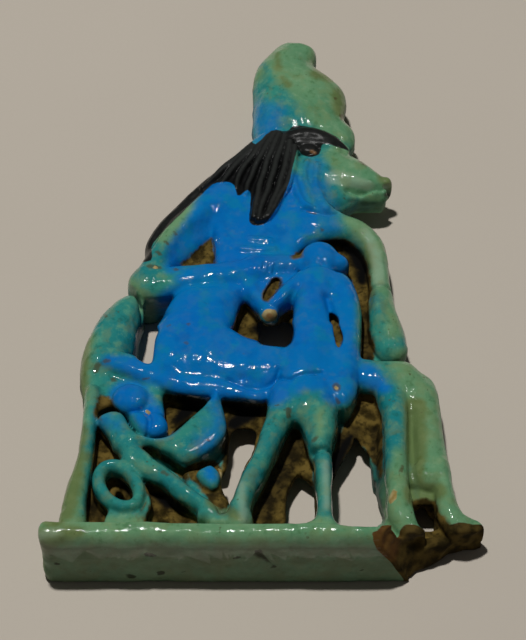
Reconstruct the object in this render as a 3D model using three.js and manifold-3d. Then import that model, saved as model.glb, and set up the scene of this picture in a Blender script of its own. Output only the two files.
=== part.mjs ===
// Openwork faience amulet: a lion-headed goddess on a throne, with a child standing at her knee.
// The piece lies on its flat back. +X is the way the goddess faces, +Y runs up to her crown, and
// +Z is the carved front. Every size is in millimetres.
import * as THREE from "three";
import { mergeVertices } from "three/addons/utils/BufferGeometryUtils.js";
import Module from "manifold-3d";

// Overall sizes
const HEIGHT = 80; // base underside to crown knob
const BASE_LEFT = -24.2; // rounded end of the base slab
const BASE_DEPTH = 8.2; // the slab is the deepest part
const BASE_RISE = 2.7; // thickness of the slab at its whole end
const BASE_RISE_RIGHT = 2.1; // and beside the break
const BASE_ROUND_LOW = 1.4; // rounding of the slab's lower front edge
const BASE_ROUND_TOP = 0.4; // and of its upper front edge
const BREAK_FRONT_X = 12.4; // where the break crosses the slab's front edge
const BREAK_BACK_X = 16.2; // and its back edge
const BREAK_STEP = 1.7; // the broken end climbs to this height in its slant
const BREAK_TOP = 2.6; // and to this height behind it
const TOE_X = 24.0; // tip of the far foot
const TOE_Y = 4.9; // height of the break under that toe

// Relief levels above the flat back
const GROUND = 3; // recessed ground between the figures
const UNDER = -1; // forms start below the back and are cut flat at zero
const FAR = 5.9; // far arm and far leg
const PANEL = 6.4; // throne and bird
const BODY = 6.9; // torso, thigh and head
const NEAR = 7.6; // near arm and child

// Facets: segments in each half circle, and rows from the rim of a form to its ridge
const FULL = { sides: 5, arch: 3 };
const SMALL = { sides: 4, arch: 2 };
const RAD = Math.PI / 180;
const MERGE = 1e-4; // vertices closer than this are one

// Ring under the bird: a tube of this radius round a leaning oval
const RING = { x: -15.7, y: 9.1, across: 1.85, along: 3.0, lean: 22 * RAD, tube: 0.72, sides: 9 };

const wasm = await Module();
wasm.setup();

// A closed three.js geometry as a manifold solid
function solid(geometry) {
  const bare = geometry.clone();
  bare.deleteAttribute("normal");
  bare.deleteAttribute("uv");
  const merged = mergeVertices(bare, MERGE);
  const kept = [];
  const index = merged.index.array;
  for (let i = 0; i < index.length; i += 3) {
    const [a, b, c] = [index[i], index[i + 1], index[i + 2]];
    if (a !== b && b !== c && c !== a) kept.push(a, b, c);
  }
  const made = (triangles) =>
    new wasm.Manifold(
      new wasm.Mesh({
        numProp: 3,
        vertProperties: merged.attributes.position.array,
        triVerts: new Uint32Array(triangles),
      }),
    );
  const body = made(kept);
  return body.volume() < 0 ? made(kept.reverse()) : body;
}

function join(solids) {
  return solids.reduce((all, next) => all.add(next));
}

// A relief form. Each rim point has a point of the spine that it arches up to. The form is a sphere
// grid whose rows run from the spine at the top, down the arched side to the rim, and down a wall.
function relief(rim, { mid, back = UNDER, roundBack = false, arch = FULL.arch }) {
  const rows = [];
  for (let j = 0; j <= arch; j++) {
    const t = (j / arch) * 90 * RAD;
    rows.push({ out: Math.sin(t), up: Math.cos(t), down: 0 });
  }
  if (roundBack) {
    for (let j = arch - 1; j >= 0; j--) {
      const t = (j / arch) * 90 * RAD;
      rows.push({ out: Math.sin(t), up: 0, down: Math.cos(t) });
    }
  } else {
    rows.push({ out: 1, up: 0, down: 1 }, { out: 0, up: 0, down: 1 });
  }
  const open = 1e-6;
  const grid = new THREE.SphereGeometry(
    1,
    rim.length,
    rows.length - 1,
    0,
    360 * RAD,
    open,
    180 * RAD - 2 * open,
  );
  const place = grid.attributes.position;
  rows.forEach((row, j) => {
    for (let i = 0; i <= rim.length; i++) {
      const p = rim[i % rim.length];
      place.setXYZ(
        j * (rim.length + 1) + i,
        p.cx + (p.x - p.cx) * row.out,
        p.cy + (p.y - p.cy) * row.out,
        mid + (p.top - mid) * row.up - (mid - back) * row.down,
      );
    }
  });
  return solid(grid);
}

// A limb between two circles [x, y, radius, top], as the outline round both of them
function link(a, b, levels) {
  const { sides = FULL.sides } = levels;
  const [ax, ay, ar, at] = a;
  const [bx, by, br, bt] = b;
  const length = Math.hypot(bx - ax, by - ay);
  const rim = [];
  const arc = (x, y, r, top, from, to, parts) => {
    for (let i = 0; i <= parts; i++) {
      const t = from + ((to - from) * i) / parts;
      rim.push({ x: x + r * Math.cos(t), y: y + r * Math.sin(t), cx: x, cy: y, top });
    }
  };
  if (length <= Math.abs(ar - br) + 0.01) {
    const [x, y, r, top] = ar > br ? a : b;
    arc(x, y, r, top, 0, 360 * RAD, 2 * sides);
    rim.pop();
  } else {
    const way = Math.atan2(by - ay, bx - ax);
    const turn = Math.acos((ar - br) / length);
    arc(bx, by, br, bt, way - turn, way + turn, sides);
    arc(ax, ay, ar, at, way + turn, way - turn + 360 * RAD, sides);
  }
  return relief(rim, levels);
}

// A limb through several circles [x, y, radius], one top level or one for each circle
function limb(circles, top, mid, levels = {}) {
  const tops = circles.map((_, i) => (Array.isArray(top) ? top[i] : top));
  const full = circles.map((c, i) => [...c, tops[i]]);
  return join(
    full.slice(1).map((next, i) => link(full[i], next, { mid, ...levels })),
  );
}

// An oval dome
function dome(x, y, rx, ry, top, mid, levels = {}) {
  const { sides = FULL.sides } = levels;
  const rim = [];
  for (let i = 0; i < 2 * sides; i++) {
    const t = (i / sides) * 180 * RAD;
    rim.push({ x: x + rx * Math.cos(t), y: y + ry * Math.sin(t), cx: x, cy: y, top });
  }
  return relief(rim, { mid, ...levels });
}

// A form given by its left and right edge at rising heights: rows of [y, left, right, top]
function body(rows, mid, levels = {}) {
  const edge = ([y, left, right, top], x) => ({ x, y, cx: (left + right) / 2, cy: y, top });
  const up = rows.map((row) => edge(row, row[2]));
  const down = [...rows].reverse().map((row) => edge(row, row[1]));
  return relief([...up, ...down], { mid, ...levels });
}

// A flat plate with a polygon outline
function plate(outline, from, to) {
  const shape = new THREE.Shape(outline.map(([x, y]) => new THREE.Vector2(x, y)));
  const slab = new THREE.ExtrudeGeometry(shape, { depth: to - from, bevelEnabled: false });
  slab.translate(0, 0, from);
  return solid(slab);
}

const mix = (a, b, t) => a + (b - a) * t;

// Base slab: its section is drawn in Y and Z and run along X, then the ends are shaped
function base() {
  const section = new THREE.Shape();
  const [low, top, rise, deep] = [BASE_ROUND_LOW, BASE_ROUND_TOP, BASE_RISE, BASE_DEPTH];
  section.moveTo(0, 0);
  section.lineTo(rise, 0);
  section.lineTo(rise, deep - top);
  section.absarc(rise - top, deep - top, top, 0, 90 * RAD, false);
  section.absarc(low, deep - low, low, 90 * RAD, 180 * RAD, false);
  const length = TOE_X - BASE_LEFT;
  const run = new THREE.ExtrudeGeometry(section, {
    depth: length,
    bevelEnabled: false,
    curveSegments: 3,
  });
  run.applyMatrix4(
    new THREE.Matrix4().makeBasis(
      new THREE.Vector3(0, 1, 0),
      new THREE.Vector3(0, 0, 1),
      new THREE.Vector3(1, 0, 0),
    ),
  );
  run.translate(BASE_LEFT, 0, 0);
  const place = run.attributes.position;
  for (let i = 0; i < place.count; i++) {
    const along = (place.getX(i) - BASE_LEFT) / length;
    place.setY(i, place.getY(i) * mix(1, BASE_RISE_RIGHT / rise, along));
  }
  return solid(run);
}

// What the break and the rounded left end take off the slab
function baseLosses() {
  const leftEnd = plate(
    [
      [BASE_LEFT - 1, -1],
      [BASE_LEFT + 0.4, -1],
      [BASE_LEFT + 0.05, 0.6],
      [BASE_LEFT, 1.5],
      [BASE_LEFT + 0.35, 2.3],
      [BASE_LEFT + 1.2, 3],
      [BASE_LEFT - 1, 3],
    ],
    UNDER,
    BASE_DEPTH + 1,
  );
  const underFeet = plate(
    [
      [BREAK_BACK_X, -1],
      [BREAK_BACK_X, 0.2],
      [17.2, 1.6],
      [19.6, 3.1],
      [21.2, 4.2],
      [TOE_X + 1, TOE_Y],
      [TOE_X + 1, -1],
    ],
    UNDER,
    BASE_DEPTH + 1,
  );
  // The slanting end face is drawn in X and Z, and run up to each height of the broken edge
  const step = (rows, rise) => {
    const face = plate(rows, 0, rise + 1);
    return face.rotate(90, 0, 0).translate(0, rise, 0);
  };
  const lower = step(
    [
      [BREAK_FRONT_X, BASE_DEPTH + 1],
      [BREAK_FRONT_X, BASE_DEPTH],
      [BREAK_BACK_X, 0],
      [TOE_X + 1, 0],
      [TOE_X + 1, BASE_DEPTH + 1],
    ],
    BREAK_STEP,
  );
  const upper = step(
    [
      [BREAK_FRONT_X - 0.1, BASE_DEPTH + 1],
      [BREAK_FRONT_X, BASE_DEPTH],
      [13.6, 6.6],
      [16, 5.6],
      [17, 3.2],
      [TOE_X + 1, 3.2],
      [TOE_X + 1, BASE_DEPTH + 1],
    ],
    BREAK_TOP,
  );
  return [leftEnd, underFeet, lower, upper];
}

// Throne: back rest, seat edge and the post at the left
function throne() {
  const backRest = body(
    [
      [22.2, -20.5, -19.2, 4.6],
      [24.4, -20.9, -18.2, 5.6],
      [26.6, -21.1, -16.6, 6.3],
      [28.6, -20.9, -15.1, 6.7],
      [31.2, -20.1, -14.7, 6.9],
      [33.8, -19.0, -14.3, 6.8],
      [35.9, -17.6, -14.0, 6.3],
      [37.4, -16.2, -14.6, 5.2],
    ],
    3.6,
  );
  const seat = limb([[-17, 26.4, 1.4], [-13, 25.3, 1.5], [-6, 24.8, 1.8], [0, 23.3, 2.1]], PANEL, 4.8);
  const corner = limb([[-18.6, 20.6, 1.0], [-18.5, 24.4, 1.2], [-15.6, 24.6, 1.1]], 5.8, 4.6, SMALL);
  const post = limb(
    [[-19.3, 22.4, 0.95], [-19.6, 15, 0.9], [-20.6, 8, 1.25], [-21, 2.6, 1.7]],
    6.3,
    4.6,
    SMALL,
  );
  return [backRest, seat, corner, post];
}

// Openwork side panel: a winged creature with a disc over its bent head
function bird() {
  const disc = dome(-15, 21, 2.15, 1.95, 6.9, 5.4);
  const crest = limb([[-12.7, 22.3, 1.0], [-12.1, 19.2, 0.9]], 6.3, 5, SMALL);
  const face = limb([[-13.4, 17.9, 1.3], [-11.6, 17, 1.25]], 6.5, 5, SMALL);
  const stub = limb([[-17.9, 17.4, 0.8], [-16.2, 16.8, 1.2], [-14.6, 15.2, 1.3]], 6.3, 5);
  const wing = limb(
    [
      [-14.4, 14.8, 1.1],
      [-11.4, 14.2, 1.1],
      [-8.9, 14.3, 1.9],
      [-6.8, 16.1, 2.2],
      [-5.5, 18.7, 1.2],
      [-5.2, 21.4, 0.8],
    ],
    6.6,
    5,
  );
  const trunk = limb([[-14.9, 13.6, 1.6], [-11.2, 10.6, 1.7], [-7.6, 7.0, 1.2], [-5.2, 4.6, 1.1]], 6.6, 5);
  const ring = [];
  for (let i = 0; i <= RING.sides; i++) {
    const t = (i / RING.sides) * 360 * RAD;
    const [across, along] = [RING.across * Math.cos(t), RING.along * Math.sin(t)];
    ring.push([
      RING.x + across * Math.cos(RING.lean) - along * Math.sin(RING.lean),
      RING.y + across * Math.sin(RING.lean) + along * Math.cos(RING.lean),
      RING.tube,
    ]);
  }
  const claw = limb([[-14.6, 5.6, 1.5], [-14.4, 3, 1.9]], 5.8, 4.4, SMALL);
  const chip = dome(-6, 10.2, 1.2, 1.2, 6, 4.6, SMALL);
  return [disc, crest, face, stub, wing, trunk, limb(ring, 6.2, 5, SMALL), claw, chip];
}

// Goddess: trunk, arms and legs
function goddess() {
  const trunk = body(
    [
      [36.2, -8.5, -2.4, 6.2],
      [38.4, -6.8, 3.4, 6.4],
      [41, -6, 3.8, 6.4],
      [43.4, -6, 3.8, 6.4],
      [45.2, -6, 6.2, 6.4],
      [48, -6.1, 8.8, 6.5],
      [51, -6.4, 8.2, 6.5],
      [54.5, -6, 6.8, 6.5],
      [57.5, -3, 6, 6.2],
    ],
    4.6,
  );
  const hip = body(
    [
      [24.4, -12, -4.5, 6.4],
      [26, -13, -3.4, 6.9],
      [28.4, -13, -3.4, 7.2],
      [30.4, -12.5, -4.3, 7.3],
      [33, -11.6, -3.6, 7.2],
      [36, -10.5, -2.7, 6.8],
      [37.8, -9.2, -2.4, 6.2],
    ],
    4.8,
  );
  const thigh = limb(
    [[-9, 27.8, 3.2], [-4, 27, 2.9], [0.5, 25.9, 2.4], [12, 25.2, 2.2], [15.5, 24.8, 2.4]],
    [7.2, 7.2, 7.1, 6.6, 6.6],
    4.8,
  );
  const upperArm = limb(
    [[-5.2, 51.9, 2.5], [-9.6, 47.4, 1.9], [-12.3, 42.6, 1.7], [-13.7, 38.9, 2.1]],
    [7.2, 7.4, 7.2, 6.8],
    4.4,
  );
  const foreArm = limb(
    [[-13.6, 38.8, 2.1], [-8.8, 39.1, 1.7], [-3.4, 39.6, 1.55], [-0.8, 40.2, 1.7]],
    [6.8, 7.2, 7.5, 7.5],
    4.6,
  );
  const hand = limb([[-0.8, 40.2, 1.9], [1.6, 40.7, 1.6], [4.0, 41.2, 1.2]], [7.7, 7.5, 6.9], 5.2, SMALL);
  const breast = limb([[-2.2, 39.2, 1.2], [0.2, 34.5, 0.95]], 6.9, 5, SMALL);
  const farArm = limb(
    [
      [6.3, 48.1, 2.2],
      [11.2, 47.2, 1.75],
      [13.1, 45.2, 1.55],
      [13.6, 42, 1.35],
      [13.7, 38.4, 1.3],
      [13.9, 35, 1.7],
      [14.4, 31, 2.0],
    ],
    FAR,
    4,
  );
  const nearShin = limb(
    [[15, 23.4, 2.1], [15, 16.4, 1.4], [14.8, 9, 1.35], [15, 5.2, 1.4], [16, 3.4, 1.5]],
    [6.6, 6.6, 6.6, 6.6, 6.2],
    4.8,
  );
  const shinSide = limb([[14.3, 17, 1.3], [13.6, 5, 1.2], [14.2, 2.6, 1.3]], 4.2, 3.6, SMALL);
  const farShin = limb([[16.3, 24.3, 2.7], [17.6, 22, 2.5], [18.3, 16, 2.1], [18.8, 11.1, 2.1]], FAR, 4);
  const farFoot = limb(
    [[19.9, 11.4, 1.1], [20.1, 7.4, 1.15], [20.7, 5.4, 1.4], [23.1, 5.2, 0.85]],
    [FAR, 5.6, 5.4, 4],
    3.4,
  );
  const arms = [upperArm, foreArm, hand, farArm];
  const legs = [thigh, nearShin, shinSide, farShin, farFoot];
  return [trunk, hip, breast, ...arms, ...legs];
}

// Lion's head, with a raised muzzle and a pleated ruff
function head() {
  const hollow = { back: 1.8, roundBack: true };
  const skull = limb([[4.6, 56.6, 3.2], [7.8, 57.2, 3.7], [9.4, 57.6, 2.9]], BODY, 4.2);
  const muzzle = limb([[8.6, 57.2, 3.1], [11.2, 56, 2.3], [14.7, 54.9, 1.1]], [6.9, 6.6, 5.6], 4, hollow);
  const jaw = limb([[7.4, 53.4, 2.8], [10.8, 53.6, 2.0], [14.1, 53.1, 1.0]], [6.6, 6.4, 5.6], 3.8, {
    ...SMALL,
    ...hollow,
  });
  const cheek = limb([[9, 55.4, 2.4], [12.2, 54.3, 1.6], [14.2, 53.9, 0.9]], [6.9, 6.7, 5.8], 4, hollow);
  const ruff = [0, 1, 2].map((i) =>
    limb(
      [[4.6 + 1.5 * i, 55.6 - 0.7 * i, 1.0], [6 + 1.15 * i, 50.6 - 0.1 * i, 0.9]],
      6.9 - 0.15 * i,
      4.8,
      SMALL,
    ),
  );
  const ear = dome(6.1, 59.9, 1.3, 1.1, 7.1, 6, SMALL);
  return [skull, muzzle, jaw, cheek, ...ruff, ear];
}

// Crown: a tall bulb with a knob on a low band
function crown() {
  return [
    body(
      [
        [60.6, -0.2, 9.6, 6.0],
        [61.8, -0.9, 11.0, 6.4],
        [63.2, -1.2, 11.4, 6.6],
        [64.8, -1.3, 11.2, 6.8],
        [66.2, -1.3, 10.2, 6.9],
        [67.6, -1.3, 10.2, 7],
        [69.2, -1.3, 10.5, 7],
        [70.8, -1.3, 10.4, 7],
        [72.4, -1.3, 9.7, 6.9],
        [74, -1.2, 8.4, 6.8],
        [75.4, -0.9, 7.0, 6.6],
        [76.4, -0.4, 6.5, 6.5],
        [77.6, 0.4, 6.9, 6.4],
        [78.7, 1.2, 6.8, 6.2],
        [79.5, 2.0, 6.1, 5.8],
        [HEIGHT, 3.0, 5.0, 5.0],
      ],
      4,
    ),
  ];
}

// Wig: ropes of hair fanned by a loop, in a front lappet, a back mass and a rim down the back
function wig() {
  const hair = [];
  const lappet = 4;
  for (let i = 0; i < lappet; i++) {
    const t = i / (lappet - 1);
    hair.push(
      limb(
        [
          [mix(0.6, 3.3, t), 62, 0.8],
          [mix(-1.2, 3.0, t), 56, 0.8],
          [mix(-1.0, 1.9, t), 51.5, 0.62],
          [mix(-1.0, 0.2, t), 48.6, 0.55],
        ],
        [7.3, 7.4, 7.3, 7.1],
        5.6,
        SMALL,
      ),
    );
  }
  const behind = 5;
  for (let i = 0; i < behind; i++) {
    const t = i / (behind - 1);
    hair.push(
      limb(
        [
          [mix(-0.9, 0.2, t), mix(60.4, 61.6, t), 0.8],
          [mix(-4.6, -2.4, t), mix(57, 56.6, t), 0.85],
          [mix(-7.0, -2.6, t), mix(54.6, 53.4, t), 0.7],
        ],
        [6.9, 7.0, 6.6],
        5.2,
        SMALL,
      ),
    );
  }
  const rim = limb(
    [
      [-1, 59.9, 1.2],
      [-4.3, 56.7, 1.2],
      [-7.4, 53.4, 1.15],
      [-11.1, 48.4, 1.1],
      [-13, 44.9, 1],
      [-13.3, 43.3, 0.8],
    ],
    [6.2, 6.4, 6.4, 6.6, 6.6, 6.2],
    4,
    SMALL,
  );
  const cap = limb([[0.4, 61.2, 1.9], [3.4, 61.8, 1.9]], 7.2, 5);
  const brow = limb(
    [[3.4, 62.4, 1.3], [6.4, 62.5, 1.1], [9, 61.5, 1.0], [10.6, 60.3, 0.8]],
    [7.4, 7.5, 7.1, 6.3],
    4.6,
    SMALL,
  );
  return [...hair, rim, cap, brow];
}

// Child: head, body, hanging arm, raised arm with its lost hand, and striding legs
function child() {
  const skull = dome(6.8, 41.6, 2.4, 2.5, 8, 5.2);
  const lock = dome(9.2, 41.4, 1.05, 1.2, 6.6, 5, SMALL);
  const torso = limb(
    [[6.6, 39.4, 1.6], [6.2, 36.9, 2.4], [5.6, 33, 2.0], [5.2, 29, 2.1], [4.9, 25.8, 2.7]],
    NEAR + 0.4,
    5.4,
  );
  const hips = limb([[4.9, 24, 2.9], [5.4, 20.8, 3.0]], NEAR, 5.4);
  const arm = limb(
    [[8.6, 37.2, 1.8], [9.9, 34.6, 1.45], [10.1, 30, 1.2], [9.8, 26, 1.15], [9.2, 21.8, 1.2]],
    NEAR,
    5.4,
  );
  const raised = limb([[4.4, 37.4, 1.4], [1.4, 34.6, 1.05]], 7.3, 5.2, SMALL);
  const stump = dome(0.7, 33.7, 1.15, 1.1, 6.6, 5, { ...SMALL, back: 2.4, roundBack: true });
  const leftLeg = limb(
    [[3, 21.4, 2.2], [1.5, 17.3, 1.45], [-0.6, 11, 1.28], [-2.3, 6, 1.35], [-2.6, 3.6, 1.4]],
    NEAR,
    5.4,
  );
  const leftFoot = limb([[-2.6, 3.8, 1.2], [-5.2, 3.6, 0.85]], 6.9, 5, SMALL);
  const rightThigh = limb([[5.9, 20.6, 2.5], [6.2, 16.6, 1.8], [6.1, 13.8, 1.25]], 7.5, 5.2);
  const rightShin = limb([[6.6, 14.2, 0.98], [6.8, 6, 1.02], [6.9, 3.4, 1.4]], 7, 5);
  const rightFoot = limb([[7.2, 3.2, 1.2], [5.1, 3.2, 0.9]], 6.8, 5, SMALL);
  const legs = [leftLeg, leftFoot, rightThigh, rightShin, rightFoot];
  return [skull, lock, torso, hips, arm, raised, stump, ...legs];
}

// Recessed grounds that tie the figures together
function grounds() {
  const panel = [[-21, 2], [-19.9, 13], [-19.4, 26], [-4.6, 26], [-4.4, 17], [-5, 12], [-4, 7], [-4, 2]];
  const armPit = [[-13, 39], [-13, 44], [-6, 50], [-5, 50], [-5, 39]];
  const lap = [[-6, 26], [-6, 38], [-1.6, 38.6], [-0.5, 35], [-0.4, 33], [-1.4, 31.3], [-1.4, 26]];
  const breastSlot = [[-3, 38], [-3, 42], [8, 46], [8, 40], [4.4, 36.4], [1.4, 34], [0, 34], [-2.2, 37.4]];
  const childSide = [[4, 33], [2.9, 33.4], [2.6, 36.6], [5, 38]];
  const lapSide = [[8, 24], [8, 38], [10.6, 38.6], [13.8, 40], [13.8, 24]];
  const legs = [[3, 22], [5, 22], [6, 12.8], [5.4, 11.8], [4, 13], [2.6, 10.4], [2.1, 2], [-3, 2], [-2, 8]];
  const knee = [[9.8, 18.8], [9.8, 25], [16, 25], [16, 18.6]];
  const feet = [
    [13, 1],
    [13, 3.2],
    [16.4, 4.4],
    [17.4, 5.2],
    [22.6, 5.7],
    [TOE_X, 5.5],
    [TOE_X, 4.4],
    [18, 1],
  ];
  return [
    plate(panel, UNDER, GROUND),
    plate(armPit, UNDER, GROUND),
    plate(lap, UNDER, GROUND),
    plate(breastSlot, UNDER, GROUND + 0.4),
    plate(childSide, UNDER, GROUND + 0.4),
    plate(lapSide, UNDER, GROUND + 1),
    plate(legs, UNDER, GROUND),
    plate(knee, UNDER, GROUND),
    plate(feet, UNDER, GROUND + 0.2),
  ];
}

// Openings right through the plaque
function openings() {
  const all = (outline) => plate(outline, UNDER - 1, BASE_DEPTH + 1);
  const underSeat = all([[-10.4, 21.4], [-8.9, 22.6], [-6.6, 22.4], [-6.2, 21], [-8.6, 17.8], [-9.9, 17.2]]);
  const underTrunk = all([[-12.3, 8.8], [-11.2, 8.4], [-8.2, 5.4], [-8.4, 3.2], [-12.3, 3.2]]);
  const inRing = all([[-16.6, 10.9], [-15.6, 10.8], [-14.8, 8.4], [-15.0, 7.2], [-15.8, 7.2], [-16.4, 8.8]]);
  return [underSeat, underTrunk, inRing];
}

// Cuts that draw the joins and hems on the front
function lines() {
  const cut = (x0, y0, x1, y1, wide, from) => {
    const turn = Math.atan2(y1 - y0, x1 - x0);
    const blade = new THREE.BoxGeometry(Math.hypot(x1 - x0, y1 - y0), wide, BASE_DEPTH);
    blade.rotateZ(turn);
    blade.translate((x0 + x1) / 2, (y0 + y1) / 2, from + BASE_DEPTH / 2);
    return solid(blade);
  };
  return [
    cut(-16.2, 38.2, -14.0, 34.8, 0.35, 4.8),
    cut(8.3, 33.6, 8.8, 29.4, 0.7, 4.2),
    cut(12.6, 38.1, 15.4, 38.0, 0.3, 4.9),
    cut(5.0, 13.2, 7.5, 13.2, 0.3, 6.0),
  ];
}

const figures = [...goddess(), ...head(), ...crown(), ...wig(), ...child()];
const forms = [base(), ...throne(), ...bird(), ...grounds(), ...figures];
const belowBack = new THREE.BoxGeometry(2 * HEIGHT, 3 * HEIGHT, HEIGHT);
belowBack.translate(0, 0, -HEIGHT / 2);
const losses = [...baseLosses(), ...openings(), ...lines(), solid(belowBack)];
const amulet = losses.reduce((left, loss) => left.subtract(loss), join(forms));

const result = amulet.getMesh();
const geometry = new THREE.BufferGeometry();
geometry.setAttribute("position", new THREE.BufferAttribute(result.vertProperties, 3));
geometry.setIndex(new THREE.BufferAttribute(result.triVerts, 1));
geometry.computeBoundingBox();
const { min, max } = geometry.boundingBox;
geometry.translate(-(min.x + max.x) / 2, -(min.y + max.y) / 2, -min.z);
geometry.computeVertexNormals();

const glaze = new THREE.MeshStandardMaterial({ color: 0x1878a8, roughness: 0.25, metalness: 0 });
const piece = new THREE.Mesh(geometry, glaze);
piece.name = "amulet";

const group = new THREE.Group();
group.add(piece);

export default group;
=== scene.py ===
"""A glazed openwork amulet: a lion-headed goddess on a throne, with a child at her knee, lying on its back.

The piece is carved as one field of signed distances on a grid, and the field's surface becomes the mesh.
Carving sizes are in millimetres, with Y from the base's underside and Z from the flat back.
"""

import math

import bpy
import numpy as np
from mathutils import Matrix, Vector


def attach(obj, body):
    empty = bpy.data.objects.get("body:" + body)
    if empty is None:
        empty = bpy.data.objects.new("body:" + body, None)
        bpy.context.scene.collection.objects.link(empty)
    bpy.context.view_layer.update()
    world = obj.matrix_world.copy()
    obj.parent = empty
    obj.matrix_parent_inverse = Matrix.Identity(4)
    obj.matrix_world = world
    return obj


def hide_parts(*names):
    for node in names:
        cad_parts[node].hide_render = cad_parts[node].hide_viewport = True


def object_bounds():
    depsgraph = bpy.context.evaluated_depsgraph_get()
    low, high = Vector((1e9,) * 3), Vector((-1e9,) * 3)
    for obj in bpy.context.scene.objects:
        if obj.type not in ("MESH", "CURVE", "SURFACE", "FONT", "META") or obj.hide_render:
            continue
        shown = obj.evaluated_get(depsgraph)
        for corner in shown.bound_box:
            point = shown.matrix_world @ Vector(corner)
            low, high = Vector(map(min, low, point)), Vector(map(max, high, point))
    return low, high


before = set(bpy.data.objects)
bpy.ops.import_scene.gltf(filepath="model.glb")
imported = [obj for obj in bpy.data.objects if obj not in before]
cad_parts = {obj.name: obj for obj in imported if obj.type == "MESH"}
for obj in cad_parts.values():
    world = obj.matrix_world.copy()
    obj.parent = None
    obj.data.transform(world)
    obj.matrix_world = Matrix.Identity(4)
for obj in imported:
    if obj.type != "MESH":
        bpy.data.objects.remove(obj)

CAD_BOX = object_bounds()

# Grid of the carving
CELL = 0.2
LOW = (-25.4, -1.0, -0.8)
HIGH = (25.6, 81.2, 9.4)
FAR_OFF = 3.0
MARGIN = 1.6
MOST_TRIANGLES = 190000
SEED = 11

# Relief levels above the flat back
GROUND = 3.0
UNDER = -1.0
FAR_LIMB = 5.9
PANEL = 6.4
BODY = 6.9
NEAR = 7.6

# The camera looks down at a slant, so outlines read from the view are moved along Y with their height
READ_LEVEL = 6.0
SIGHT_Y = [0, 20, 40, 60, 79]
SIGHT_SLOPE = [0.685, 0.76, 0.85, 0.95, 1.05]

LOWNESS = 0.85  # how much of a form's depth is in its arch, and the rest is in its walls
FULLNESS = 2.2  # 2 is an elliptical arch, and more is a flatter top with tighter sides

BASE_LEFT = -24.2
BASE_RIGHT = 24.0
BASE_DEPTH = 8.2
BASE_RISE = 2.7
BASE_RISE_RIGHT = 2.1
BASE_ROUND_LOW = 1.45
BASE_ROUND_TOP = 0.4
BASE_ROUND_END = 0.7
BASE_SAG = 0.1  # the front face falls away below this height
BASE_SAG_FROM = 2.3

# From the carving's frame to the row's
SHIFT = (CAD_BOX[0][0] * 1000 - BASE_LEFT, CAD_BOX[0][1] * 1000, 0.0)

AXES = [np.arange(lo, hi + CELL, CELL, dtype=np.float32) for lo, hi in zip(LOW, HIGH)]
FIELD = np.full([len(a) for a in AXES], FAR_OFF, np.float32)


def smooth(points, steps=5):
    """Rows on a smooth curve through the given rows of numbers."""
    p = np.asarray(points, float)
    if len(p) < 3:
        return p
    e = np.vstack([2 * p[0] - p[1], p, 2 * p[-1] - p[-2]])
    t = np.linspace(0, 1, steps, endpoint=False)[:, None]
    rows = []
    for a, b, c, d in zip(e[:-3], e[1:-2], e[2:-1], e[3:]):
        bend = 2 * a - 5 * b + 4 * c - d
        turn = 3 * b - a - 3 * c + d
        rows.append(0.5 * (2 * b + (c - a) * t + bend * t**2 + turn * t**3))
    return np.vstack(rows + [p[-1:]])


def ramp(v, lo, hi):
    """0 below lo, 1 above hi, smooth between."""
    t = np.clip((v - lo) / (hi - lo), 0, 1)
    return t * t * (3 - 2 * t)


class Patch:
    """A box of the grid. x and y are its columns' places, and z its heights."""

    def __init__(self, x0, x1, y0, y1):
        spans = []
        for axis, (lo, hi) in enumerate(((x0, x1), (y0, y1))):
            first = int(max((lo - MARGIN - LOW[axis]) / CELL, 0))
            last = int(min((hi + MARGIN - LOW[axis]) / CELL + 2, len(AXES[axis])))
            spans.append(slice(first, last))
        self.at = tuple(spans)
        self.x = AXES[0][spans[0]][:, None]
        self.y = AXES[1][spans[1]][None, :]
        self.z = AXES[2][None, None, :]

    def add(self, f, fillet):
        """Joins a form to the field, with a fillet where they meet."""
        here = FIELD[self.at]
        h = np.clip(0.5 + 0.5 * (f - here) / fillet, 0, 1)
        FIELD[self.at] = f + (here - f) * h - fillet * h * (1 - h)

    def cut(self, f, fillet):
        """Takes a form away from the field."""
        here = FIELD[self.at]
        g = -f
        h = np.clip(0.5 - 0.5 * (here - g) / fillet, 0, 1)
        FIELD[self.at] = here + (g - here) * h + fillet * h * (1 - h)

    def sink(self, amount, floor):
        """Lowers the front by amount, from the height floor up."""
        lift = ramp(self.z, floor - 0.5, floor + 0.3)
        FIELD[self.at] += amount[:, :, None] * lift


def arch(patch, d, width, top, mid, back=UNDER, round_back=False):
    """A relief form from d, the distance outside its outline: it arches up over width, and its sides go straight down."""
    d = d[:, :, None]
    width = np.maximum(np.broadcast_to(width, d.shape[:2])[:, :, None], 0.05)
    top = np.broadcast_to(top, d.shape[:2])[:, :, None]
    rise = np.maximum(LOWNESS * (top - mid), 0.05)
    mid = top - rise
    inner = np.maximum(d + width, 0) / width
    up = patch.z - mid
    reach = rise
    if round_back:
        reach = np.where(up > 0, rise, mid - back)
        up = np.abs(up)
    up = np.maximum(up, 0) / reach
    k0 = (inner**FULLNESS + up**FULLNESS) ** (1 / FULLNESS)
    slope = np.hypot(inner ** (FULLNESS - 1) / width, up ** (FULLNESS - 1) / reach)
    slope /= np.maximum(k0, 0.02) ** (FULLNESS - 1)
    f = (k0 - 1) / np.maximum(slope, 0.05)
    return np.maximum(f, -np.minimum(width, reach)).astype(np.float32)


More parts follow.
